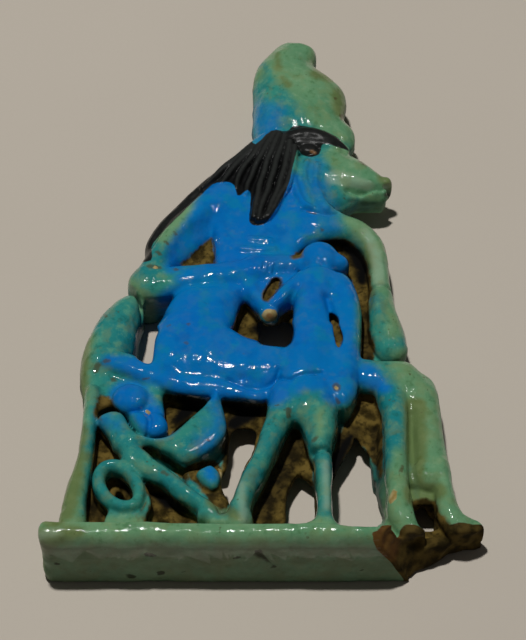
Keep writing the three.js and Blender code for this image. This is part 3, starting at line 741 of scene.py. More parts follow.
carve_base()
carve_throne()
carve_bird()
carve_goddess()
carve_head()
carve_crown()
carve_wig()
carve_child()
carve_grounds()
for points in OPENINGS:
    hole(points)
for points in SEEN_THROUGH:
    sight_hole(points)
for points in SLOTS:
    sight_hole(points, 0.2, SLOT_FLOOR)
carve_lines()
carve_pits()
FIELD += 0.09 * lattice(2.8, SEED + 4) + 0.045 * lattice(1.2, SEED + 5)
low_part = 1 - ramp(AXES[2], GROUND + 0.4, GROUND + 1.4)
FIELD += low_part * (0.1 * lattice(1.1, SEED + 6) + 0.06 * lattice(0.6, SEED + 7))
carve_break()
FIELD[:] = np.maximum(FIELD, -AXES[2][None, None, :])
FIELD[:] = np.maximum(FIELD, -AXES[1][None, :, None])


def surface():
    """The field's zero surface as vertices in millimetres and four-sided faces."""
    solid = FIELD < 0
    n = [s - 1 for s in FIELD.shape]
    count = np.zeros(n, np.int8)
    corners = [(i, j, k) for i in (0, 1) for j in (0, 1) for k in (0, 1)]
    for i, j, k in corners:
        count += solid[i : i + n[0], j : j + n[1], k : k + n[2]]
    cells = np.argwhere((count > 0) & (count < 8))
    number = np.full(n, -1, np.int32)
    number[tuple(cells.T)] = np.arange(len(cells))
    values = {c: FIELD[tuple((cells + c).T)] for c in corners}
    total = np.zeros((len(cells), 3))
    hits = np.zeros(len(cells))
    for a in corners:
        for axis in range(3):
            if a[axis]:
                continue
            b = tuple(1 if q == axis else a[q] for q in range(3))
            fa, fb = values[a], values[b]
            crossed = (fa < 0) != (fb < 0)
            t = np.where(crossed, fa / np.where(crossed, fa - fb, 1), 0)
            place = np.array(a, float) + t[:, None] * np.eye(3)[axis]
            total += place * crossed[:, None]
            hits += crossed
    verts = (cells + total / hits[:, None]) * CELL + np.array(LOW)
    faces = []
    for axis in range(3):
        lower = [slice(0, -1) if q == axis else slice(1, -1) for q in range(3)]
        upper = [slice(1, None) if q == axis else slice(1, -1) for q in range(3)]
        a, b = solid[tuple(lower)], solid[tuple(upper)]
        edges = np.argwhere(a != b)
        inward = a[tuple(edges.T)]
        at = edges + [0 if q == axis else 1 for q in range(3)]
        u, v = [q for q in range(3) if q != axis]
        du, dv = np.eye(3, dtype=int)[u], np.eye(3, dtype=int)[v]
        quad = np.stack([number[tuple((at - s).T)] for s in (0, du, du + dv, dv)], 1)
        flip = inward if axis == 1 else ~inward
        quad[flip] = quad[flip][:, ::-1]
        faces.append(quad)
    return verts, np.vstack(faces)


def main_part(verts, faces):
    """The largest connected part, without the crumbs that the cuts leave."""
    mark = np.arange(len(verts))
    while True:
        low = mark[faces].min(1)
        lower = mark.copy()
        for corner in faces.T:
            np.minimum.at(lower, corner, low)
        lower = lower[lower]
        if np.array_equal(lower, mark):
            break
        mark = lower
    kept = mark == np.bincount(mark).argmax()
    number = np.cumsum(kept) - 1
    return verts[kept], number[faces[kept[faces[:, 0]]]]


def mesh_object(name, verts, faces):
    mesh = bpy.data.meshes.new(name)
    mesh.from_pydata([], [], [])
    mesh.vertices.add(len(verts))
    mesh.vertices.foreach_set("co", verts.astype(np.float32).ravel())
    mesh.loops.add(faces.size)
    mesh.loops.foreach_set("vertex_index", faces.astype(np.int32).ravel())
    mesh.polygons.add(len(faces))
    mesh.polygons.foreach_set("loop_start", np.arange(0, faces.size, 4, dtype=np.int32))
    mesh.update(calc_edges=True)
    mesh.validate()
    made = bpy.data.objects.new(name, mesh)
    bpy.context.scene.collection.objects.link(made)
    return made


def places(mesh):
    co = np.zeros(len(mesh.vertices) * 3, np.float32)
    mesh.vertices.foreach_get("co", co)
    return co.reshape(-1, 3)


verts, faces = main_part(*surface())
piece = mesh_object("faience_amulet", (verts + SHIFT) / 1000, faces)
fewer = piece.modifiers.new("fewer", "DECIMATE")
fewer.ratio = min(1, MOST_TRIANGLES / (2 * len(faces)))
with bpy.context.temp_override(object=piece, active_object=piece):
    bpy.ops.object.modifier_apply(modifier="fewer")
mesh = piece.data
mesh.polygons.foreach_set("use_smooth", np.ones(len(mesh.polygons), bool))
print("AMULET triangles", sum(len(p.vertices) - 2 for p in mesh.polygons), "from", 2 * len(faces))

# Zones of colour, read as distances in millimetres at each vertex

P = places(mesh) * 1000 - np.array(SHIFT)
X, Y, Z = P.T
YR = Y - (READ_LEVEL - np.clip(Z, 5, 8)) * sight_slope(Y)
SEEN_Y = Y - (READ_LEVEL - Z) * sight_slope(Y)


def strokes(*paths, y=YR):
    """How far inside the nearest brush stroke each vertex lies. A stroke is a path of rows [x, y, radius]."""
    best = np.full(len(X), -99.0)
    for path in paths:
        gap, _ = along(X, y, path)
        best = np.maximum(best, -gap)
    return best


def keep(name, values):
    layer = mesh.attributes.new(name, "FLOAT", "POINT")
    layer.data.foreach_set("value", np.asarray(values, np.float32))


HAIR = [
    [-0.9, 61], [1, 63.3], [3, 63.3], [3.6, 64], [5, 64.1], [6.5, 63.7], [8, 63], [9.5, 61.8], [10.7, 59.8],
    [9.5, 60.3], [8, 61], [7.2, 60.8], [6.9, 59.3], [5.8, 58.8], [4.8, 59.2], [4.2, 60], [3.7, 57.5],
    [3.3, 55], [2.7, 53], [2, 51], [1.2, 49.3], [0.5, 48.0], [-0.5, 47.4], [-1.7, 48.1], [-1.4, 52],
    [-1.9, 53.2], [-3, 52.2], [-3.5, 54], [-4.5, 54.6], [-6, 54.2], [-7.4, 52.6], [-9.2, 50.2],
    [-10.8, 48], [-12.2, 46], [-13.2, 43.9], [-13.2, 41.8], [-15.5, 42], [-15.5, 46], [-10.5, 54],
    [-5.5, 59.5], [-1.9, 62],
]
keep("hair", -outline(X, YR, loop(HAIR, 3)))
# Distance inside the nearest lock, which sets the painted shade between the locks
lock = np.full(len(X), -99.0)
for index in range(len(LOCKS)):
    lock = np.maximum(lock, -along(X, Y, lock_path(index))[0])
keep("lock", np.maximum(lock, 0.25 - 0.45 * (YR < 59) * (X > -5)))

# Grounds of bare paste: the level they stay under, and their outline as the camera sees it
RECESSES = [
    (5.6, [[-6.2, 45.4], [-5.8, 43.5], [-5.9, 40.9], [-9.6, 40.9], [-9.1, 42.2], [-7.7, 44.0]]),
    (5.2, [[-2.1, 36.4], [-2.9, 34.2], [-3.9, 31.4], [-4.6, 29.9], [-1.7, 28.6], [0.6, 28.0], [2, 31], [-0.4, 33]]),
    (5.0, [[3.1, 34.1], [4.2, 34.5], [4.4, 32.0], [3.4, 29.0], [2.6, 27.6], [1.4, 29], [1.4, 32.8]]),
    (7.2, [[-0.2, 36.2], [1.0, 39.0], [2.1, 39.0], [2.0, 37.5], [0.6, 35.4]]),
    (7.2, [[7.8, 32.4], [8.5, 33.2], [9.2, 31.2], [9.4, 29.6], [8.8, 28.2], [8.1, 28.8]]),
    (5.2, [[6.2, 45], [8.6, 45.6], [10.6, 45], [11.6, 43.2], [12.6, 40.7], [12.8, 38], [12.9, 34], [13.1, 31], [12.8, 26.6], [11.4, 24.5],
           [10.4, 24.5], [11.0, 34], [10.6, 38.6], [9.2, 40]]),
    (7.0, [[3.0, 42.2], [4.4, 43.5], [6.0, 44.3], [6.4, 44.0], [5.1, 42.7], [3.7, 42.1]]),
    (4.8, [[11.0, 21.8], [13.9, 22.2], [14.2, 18.5], [13.7, 13.4], [13.2, 9.4], [12.4, 12.0], [10.6, 14.6], [8.4, 10.6],
           [7.2, 7.4], [6.8, 10], [8.0, 14], [9.0, 17.4], [10.2, 19.4]]),
    (5.2, [[-11.5, 21.0], [-10.2, 22.3], [-8.2, 22.7], [-5.7, 21.8], [-5.9, 20.5], [-7.7, 18.5], [-9.9, 16.3], [-11.1, 16.0]]),
    (5.2, [[-5.0, 20.8], [0.4, 21.0], [1.0, 17], [-1.4, 11], [-3.4, 6.4], [-5.2, 8.4], [-4.6, 13]]),
    (4.8, [[3.0, 18.7], [3.7, 18.4], [4.5, 15.7], [5.4, 13.5], [5.8, 8], [5.8, 3.6], [-1.2, 3.6], [-0.8, 6.9], [1.4, 12.3]]),
    (6.0, [[-19.2, 21.0], [-17.6, 21.5], [-16.9, 20.2], [-16.3, 18.8], [-18.2, 18.2], [-19.0, 18.6]]),
    (4.8, [[-18.9, 17.0], [-17.4, 16.7], [-15.7, 14.0], [-15.9, 12.6], [-17.6, 11.9], [-19.6, 10.0], [-20.3, 11.0]]),
    (4.8, [[-19.9, 8.6], [-18.3, 8.5], [-17.1, 7.4], [-16.4, 5.5], [-16.6, 3.8], [-20.2, 3.8]]),
    (5.2, [[-12.8, 9.4], [-11.2, 8.5], [-9.2, 6.6], [-7.2, 4.7], [-7.0, 3.6], [-13.4, 3.8], [-13.3, 6.1]]),
    (4.4, [[-18.2, 11.8], [-15.9, 11.6], [-13.7, 9.0], [-13.5, 6.4], [-15.4, 5.6], [-17.6, 7.0], [-18.4, 9.4]]),
    (6.1, [[-13.6, 14.3], [-12.0, 13.8], [-9.3, 11.9], [-8.0, 10.4], [-8.6, 9.3], [-10.2, 11.1], [-11.5, 12.3], [-13.1, 13.3]]),
    (5.5, [[-9.0, 11.2], [-7.5, 11.8], [-5.5, 12.4], [-4.0, 10.2], [-3.4, 6.6], [-4.8, 5.6], [-6.4, 7.4], [-7.7, 9.3]]),
    (5.0, [[16.4, 6.6], [19.4, 6.6], [20.6, 1.0], [16, 1.0]]),
]
bare = np.full(len(X), -99.0)
for level, points in RECESSES:
    inside = -outline(X, SEEN_Y, loop(points, 2))
    bare = np.maximum(bare, np.minimum(inside, level - Z))
BACK_GLAZE = 0.3  # the paste starts above this level, and the back is glazed
bare = np.minimum(bare, Z - BACK_GLAZE)
keep("bare", bare)

broken = 0.8 - np.abs(break_field(X, Y, Z)) + np.minimum(0, 6.5 - Y) + np.minimum(0, X - 11.5)
keep("broken", broken)
keep("rusty", ramp(14.8 - X, -0.8, 0.8) * ramp(Z, 3, 5))
keep("level", Z)
keep("under", ramp(1.2 - Y, 0, 1.4) * ramp(BREAK_EDGE_X[0] - X, -1, 0))

BLUE = [
    [[-2, 56, 5], [-2, 50, 5.5], [-1, 44, 6], [0, 40, 6]],
    [[-5, 50, 3.2], [-9.0, 44.6, 2.0], [-10.4, 41, 0.9]],
    [[-8, 38.8, 2.0], [0, 40, 2.4], [6, 40, 5]],
    [[3.6, 55, 0.8], [4.6, 48, 2.0]],
    [[-7, 33, 5.8], [-7.4, 27, 5.6], [2, 25.4, 3.8]],
    [[-17.6, 26.5, 0.5], [-15.8, 26.2, 0.8], [-13, 24.9, 1.4], [-6, 23.0, 2.0], [1, 22.6, 2.2]],
    [[7, 40, 4.2], [6.6, 33, 4.0], [6.4, 26, 3.6]],
    [[9.4, 27, 1.6], [8.6, 22, 1.6]],
    [[-15, 21.4, 2.0], [-13.4, 19.2, 1.2], [-11.8, 17.4, 1.6]],
    [[11.6, 24.4, 1.5], [13.6, 22.6, 0.5]],
    [[-5.9, 10.8, 0.3], [-5.6, 10.0, 0.3]],
]

# Paler blue, that fades over a longer way
BLUISH = [
    [[0.2, 62, 1.9], [0.6, 66.4, 1.7]],
    [[-5.2, 19.8, 0.7], [-5.0, 16.4, 1.2], [-6.4, 14.2, 0.8]],
    [[-17.4, 17.8, 0.9], [-16.4, 17.4, 0.7]],
    [[6.2, 57, 1.2], [6.6, 52, 1.4], [7.6, 47.5, 1.6]],
]
bluish = 0.62 * ramp(strokes(*BLUISH), -2.6, 1.4)
keep("blue", np.maximum(ramp(strokes(*BLUE), -1.7, 1.0), bluish))

GREEN = [
    [[4, 77.5, 4.4], [6.0, 72.6, 3.6], [8, 66.4, 2.8], [10.5, 62.5, 1.6]],
    [[-0.6, 73.6, 1.0], [-1.6, 71, 0.2]],
    [[9.6, 58.9, 1.8], [12.5, 54.8, 3.2], [16, 53, 2.4]],
    [[10.8, 48.4, 1.0], [13.8, 45, 2], [14, 40, 2], [14.9, 36, 0.8], [15.4, 31, 1.0]],
    [[16.8, 26.5, 2], [18.4, 22, 2.6], [18.6, 14, 2.6], [20.5, 6, 2.6], [23, 3, 1.6]],
    [[15.4, 13, 1.0], [15, 9, 1.6], [15, 4, 2.2]],
    [[-21, 24, 1.2], [-20.9, 15, 0.7], [-21.4, 8, 1.6], [-22, 4, 2]],
    [[-20.4, 30, 0.9], [-21.2, 25, 1.2]],
    [[-24, 0.8, 4.2], [0, 0.8, 3.4], [14, 0.8, 3.6]],
    [[-15.6, 38.4, 0.5], [-13.6, 35.5, 0.8]],
    [[-12.0, 45.6, 1.0], [-9.2, 50.4, 0.7]],
    [[6.4, 19.4, 0.2], [6.2, 16.0, 0.3]],
    [[-22.6, 12, 0.4], [-22.4, 4, 1.6]],
]
keep("green", ramp(strokes(*GREEN), -1.5, 1.2))

OLIVE = [
    [[-20.8, 30, 0.8], [-21.4, 25, 1.3], [-20.8, 22.4, 0.8]],
    [[-21.2, 13, 0.9], [-22.2, 8, 1.2], [-22.6, 4, 1.0]],
    [[-20.4, 12.5, 0.7], [-19.6, 12.8, 0.7]],
    [[17.2, 20, 1.2], [17.2, 14, 1.1], [16.9, 9, 0.7]],
    [[17, 7.8, 1.6], [19, 8, 1.2]],
    [[9.6, 70, 1.0], [10, 66.5, 0.9]],
    [[1.8, 77.0, 0.3], [1.9, 74.4, 0.4]],
    [[2.4, 72.6, 0.2], [3.2, 71.4, 0.4]],
    [[-20.2, 17, 0.5], [-20.6, 10, 0.7], [-21.4, 5, 0.9]],
    [[7.0, 73.4, 0.9], [8.6, 72.4, 0.6]],
    [[15.9, 54.2, 0.9], [14.5, 55.4, 0.5]],
    [[-23.5, 1.5, 1.5], [-20, 2.4, 0.8]],
    [[12.4, 37.2, 0.7], [11.8, 34.6, 0.8]],
    [[12.6, 44, 0.5], [12.8, 41, 0.5]],
    [[-5.4, 6.6, 0.8], [-4.4, 5.6, 0.8], [-2.8, 4.8, 0.6]],
]
keep("olive", ramp(strokes(*OLIVE), -0.9, 0.8))

# Brown stains where the glaze is thin
STAINS = [
    [[-18.0, 26.5, 0.35], [-17.7, 26.5, 0.3]],
    [[-18.8, 26.0, 0.35], [-19.2, 25.0, 0.3]],
    [[-17.2, 23.8, 0.3], [-16.8, 23.5, 0.2]],
    [[-13.6, 23.8, 0.2], [-12.8, 24.0, 0.15]],
    [[-18.4, 33.4, 0.2], [-18.2, 33.2, 0.2]],
    [[9.0, 69.0, 0.2], [9.1, 68.8, 0.2]],
    [[9.8, 65.8, 0.3], [9.9, 65.4, 0.3]],
    [[0.3, 70.0, 0.2], [0.4, 69.9, 0.2]],
    [[11.9, 58.0, 0.2], [12.6, 57.2, 0.15]],
    [[-8.6, 31.9, 0.2], [-8.5, 31.9, 0.2]],
    [[-8.8, 29.1, 0.15], [-8.7, 29.1, 0.15]],
    [[-2.4, 27.7, 0.12], [-2.3, 27.6, 0.12]],
    [[-11.0, 31.8, 0.2], [-10.9, 31.8, 0.2]],
    [[-13.4, 41.0, 0.35], [-12.2, 40.7, 0.3]],
    [[-10.6, 40.5, 0.2], [-10.2, 40.4, 0.25]],
    [[-10.6, 46.4, 0.15], [-10.3, 45.8, 0.2]],
    [[-11.6, 44.8, 0.2], [-11.3, 44.4, 0.2]],
    [[-12.6, 43.2, 0.2], [-12.2, 42.8, 0.25]],
    [[8.3, 22.8, 0.45], [8.4, 22.4, 0.4]],
    [[8.3, 21.0, 0.2], [8.5, 20.4, 0.25]],
    [[2.9, 19.4, 0.3], [2.8, 18.4, 0.25]],
    [[6.0, 15.6, 0.2], [5.6, 15.0, 0.2]],
    [[-7.4, 16.4, 0.15], [-7.2, 16.2, 0.15]],
    [[-6.2, 15.2, 0.2], [-6.0, 15.0, 0.15]],
    [[-11.0, 10.6, 0.25], [-10.6, 10.3, 0.2]],
    [[15.4, 11.4, 0.25], [15.2, 10.6, 0.2]],
    [[7.0, 47.0, 0.15], [7.1, 46.6, 0.15]],
    [[5.3, 49.7, 0.12], [6.2, 49.4, 0.15]],
]
keep("stain", strokes(*STAINS))

CHIPS = [
    [[-12.8, 40.8, 0.25], [-12.5, 40.7, 0.25]],
    [[0.75, 33.4, 0.85], [0.8, 33.3, 0.85]],
    [[8.3, 22.6, 0.25], [8.35, 22.4, 0.2]],
    [[14.5, 8.2, 0.25], [14.2, 7.2, 0.35], [14.0, 6.6, 0.2]],
    [[-13.1, 19.2, 0.15], [-12.9, 19.0, 0.2]],
    [[-4.9, 12.0, 0.2], [-4.5, 10.4, 0.3], [-4.4, 9.0, 0.25]],
]
chip = strokes(*CHIPS)
keep("chip", chip)

# Warm brown spots: the middle of the child's broken hand and the ear
keep("spot", strokes([[0.7, 33.3, 0.35], [0.9, 33.1, 0.3]], [[6.0, 59.7, 0.25], [6.3, 59.5, 0.2]]))
DULL = np.maximum(np.maximum(bare, chip), broken)

# Painted shadow, very dark: the hole round the child's head, the lap and the deep hollows of the throne, where only
# shadow falls
PAINTED_SHADOW = [
    [[6.8, 45.0, 0.3], [9.4, 44.6, 0.6], [11.0, 43.0, 0.9], [11.8, 40.6, 0.8], [11.8, 38.6, 0.6]],
    [[-0.8, 31.4, 0.6], [1.4, 30.4, 1.5], [1.8, 29.4, 1.5]],
    [[-9.8, 18.0, 0.6], [-7.8, 20.4, 1.2], [-9, 21.2, 1.0]],
    [[-4.2, 20.2, 0.5], [-1.2, 19.4, 1.2], [-3.4, 17.4, 0.9]],
    [[-12, 7.6, 0.5], [-10.4, 6.6, 0.9], [-8.6, 5.6, 0.5]],
    [[-16.0, 9.6, 0.3], [-15.0, 8.0, 0.3]],
    [[15.0, 52.5, 0.2], [15.7, 52.4, 0.25]],
    [[9.9, 15.6, 0.5], [8.6, 13.0, 0.8], [7.6, 10.4, 0.6]],
]

# Painted shadow at half strength: between the legs, under the wing, beside the near shin and under the lion's muzzle
PAINTED_HALF_SHADOW = [
    [[3.6, 17.4, 0.4], [3.6, 13.6, 0.9], [1.6, 9.0, 1.1], [0.0, 5.0, 1.0]],
    [[11.9, 33.6, 0.4], [12.2, 29.8, 0.6], [12.2, 26.8, 0.5]],
    [[8.4, 16.4, 0.5], [9.0, 13.6, 0.9]],
    [[10.4, 16.6, 0.5], [9.6, 14.6, 0.6]],
    [[12.7, 16.6, 0.5], [12.8, 10.0, 0.7], [13.2, 6.0, 0.5]],
    [[-12.0, 31.6, 0.6], [-14.2, 31.4, 0.6]],
    [[-3.8, 16.4, 0.6], [-1.4, 15.6, 0.5]],
    [[-4.4, 15.0, 0.4], [-4.0, 12.0, 0.4]],
    [[10.4, 51.6, 0.2], [12.2, 51.3, 0.3], [13.6, 51.1, 0.15]],
    [[-19.6, 7.6, 0.4], [-18.4, 5.0, 0.7]],
]
# Painted shadow mask: full strength in the very dark places, half in the others
deep = ramp(strokes(*PAINTED_SHADOW, y=SEEN_Y), -0.5, 0.4)
keep("deep", np.maximum(deep, 0.55 * ramp(strokes(*PAINTED_HALF_SHADOW, y=SEEN_Y), -0.5, 0.4)))

# Painted highlight: paler strokes on the muzzle's ridge, the far arm, the base's left end and the child's legs
PAINTED_HIGHLIGHT = [
    [[8.8, 55.4, 1.0], [10.6, 54.8, 0.9], [12.6, 54.0, 0.6]],
    [[12.2, 46.6, 0.4], [13.5, 43.0, 0.5], [13.7, 38.6, 0.5]],
    [[-24.4, 2.0, 0.4], [-22.4, 2.4, 0.4]],
    [[-2.0, 4.2, 0.3], [-2.4, 9.0, 0.2]],
    [[6.9, 12.0, 0.2], [7.0, 6.0, 0.2]],
]
keep("painted_highlight", ramp(strokes(*PAINTED_HIGHLIGHT), -0.9, 0.5))

# Dark pits in the base's underside, as paths [x, z, radius]
UNDER_PITS = [
    [[-12.5, 5.3, 0.45], [-11.9, 5.3, 0.4]],
    [[0.3, 3.3, 0.5], [1.1, 3.2, 0.35]],
    [[-14.7, 1.3, 0.4], [-14.2, 1.2, 0.35]],
    [[-11.3, 1.9, 0.4], [-11.0, 1.9, 0.35]],
    [[-22.5, 3.8, 0.35], [-22.3, 3.8, 0.3]],
    [[-8.9, 2.4, 0.35], [-8.6, 2.4, 0.25]],
    [[-0.7, 6.1, 0.35], [-0.1, 6.0, 0.3]],
    [[-3.0, 4.8, 0.3], [-2.6, 4.8, 0.3]],
    [[7.6, 4.4, 0.2], [7.9, 4.4, 0.15]],
    [[10.6, 2.4, 0.2], [10.8, 2.5, 0.2]],
]
keep("pit", np.where(Y < 0.9, strokes(*UNDER_PITS, y=Z), -99))


NORMAL = np.zeros(len(X) * 3, np.float32)
mesh.vertices.foreach_get("normal", NORMAL)
NORMAL = NORMAL.reshape(-1, 3)
# Painted shade: low upright walls above the base get a darker colour
upright = ramp(1 - np.abs(NORMAL[:, 2]), 0.5, 0.9)
keep("painted_side_shade", upright * ramp(5.4 - Z, 0, 2.0) * ramp(Y, 3.2, 4.2))


def crevice():
    """How closed in each vertex is: 0 on open surfaces, towards 1 deep in corners."""
    full = (FIELD < 0).astype(np.float32)
    wide = int(round(0.8 / CELL))
    for axis in range(3):
        sums = np.cumsum(full, axis, dtype=np.float64)
        pad = [(0, 0)] * 3
        pad[axis] = (wide + 1, wide)
        sums = np.pad(sums, pad, mode="edge")
        n = full.shape[axis]
        high = np.take(sums, np.arange(2 * wide + 1, 2 * wide + 1 + n), axis)
        low = np.take(sums, np.arange(0, n), axis)
        full = ((high - low) / (2 * wide + 1)).astype(np.float32)
    at = P + NORMAL * 0.7
    index = np.clip(((at - LOW) / CELL).round().astype(int), 0, np.array(full.shape) - 1)
    return full[tuple(index.T)]


keep("crevice", crevice())


# Materials


class Nodes:
    """Builds a node tree in a few words: a value is a socket or a plain number."""

    def __init__(self, material):
        material.use_nodes = True
        self.tree = material.node_tree
        self.tree.nodes.clear()
        self.coords = self.tree.nodes.new("ShaderNodeTexCoord").outputs["Object"]

    def feed(self, socket, value):
        if isinstance(value, bpy.types.NodeSocket):
            self.tree.links.new(value, socket)
        else:
            socket.default_value = value

    def attribute(self, name):
        node = self.tree.nodes.new("ShaderNodeAttribute")
        node.attribute_name = name
        return node.outputs["Fac"]

    def math(self, how, a, b=0.0):
        node = self.tree.nodes.new("ShaderNodeMath")
        node.operation = how
        self.feed(node.inputs[0], a)
        self.feed(node.inputs[1], b)
        return node.outputs[0]

    def noise(self, size, detail=3.0, seed=0.0, rough=0.5):
        """Noise from 0 to 1 with waves of the given size in millimetres."""
        node = self.tree.nodes.new("ShaderNodeTexNoise")
        node.noise_dimensions = "4D"
        self.feed(node.inputs["Vector"], self.coords)
        node.inputs["W"].default_value = seed
        node.inputs["Scale"].default_value = 1000 / size
        node.inputs["Detail"].default_value = detail
        node.inputs["Roughness"].default_value = rough
        return node.outputs["Fac"]

    def ramp(self, value, lo, hi, to_lo=0.0, to_hi=1.0):
        node = self.tree.nodes.new("ShaderNodeMapRange")
        node.interpolation_type = "SMOOTHSTEP"
        self.feed(node.inputs["Value"], value)
        for name, v in zip(("From Min", "From Max", "To Min", "To Max"), (lo, hi, to_lo, to_hi)):
            node.inputs[name].default_value = v
        return node.outputs["Result"]

    def blend(self, amount, a, b):
        node = self.tree.nodes.new("ShaderNodeMix")
        node.data_type = "RGBA"
        self.feed(node.inputs["Factor"], amount)
        self.feed(node.inputs["A"], a)
        self.feed(node.inputs["B"], b)
        return node.outputs["Result"]

    def bump(self, height, distance, strength=1.0, normal=None):
        node = self.tree.nodes.new("ShaderNodeBump")
        node.inputs["Strength"].default_value = strength
        node.inputs["Distance"].default_value = distance
        self.feed(node.inputs["Height"], height)
        if normal is not None:
            self.feed(node.inputs["Normal"], normal)
        return node.outputs["Normal"]

    def finish(self, colour, roughness, normal, **settings):
        shader = self.tree.nodes.new("ShaderNodeBsdfPrincipled")
        out = self.tree.nodes.new("ShaderNodeOutputMaterial")
        self.feed(shader.inputs["Base Color"], colour)
        self.feed(shader.inputs["Roughness"], roughness)
        if normal is not None:
            self.feed(shader.inputs["Normal"], normal)
        for name, value in settings.items():
            self.feed(shader.inputs[name.replace("_", " ")], value)
        self.tree.links.new(shader.outputs[0], out.inputs["Surface"])


def rgb(r, g, b):
    """A linear colour from 0 to 255 screen values."""
    linear = [v / 12.92 if v <= 0.04045 else ((v + 0.055) / 1.055) ** 2.4 for v in (r / 255, g / 255, b / 255)]
    return (*linear, 1.0)


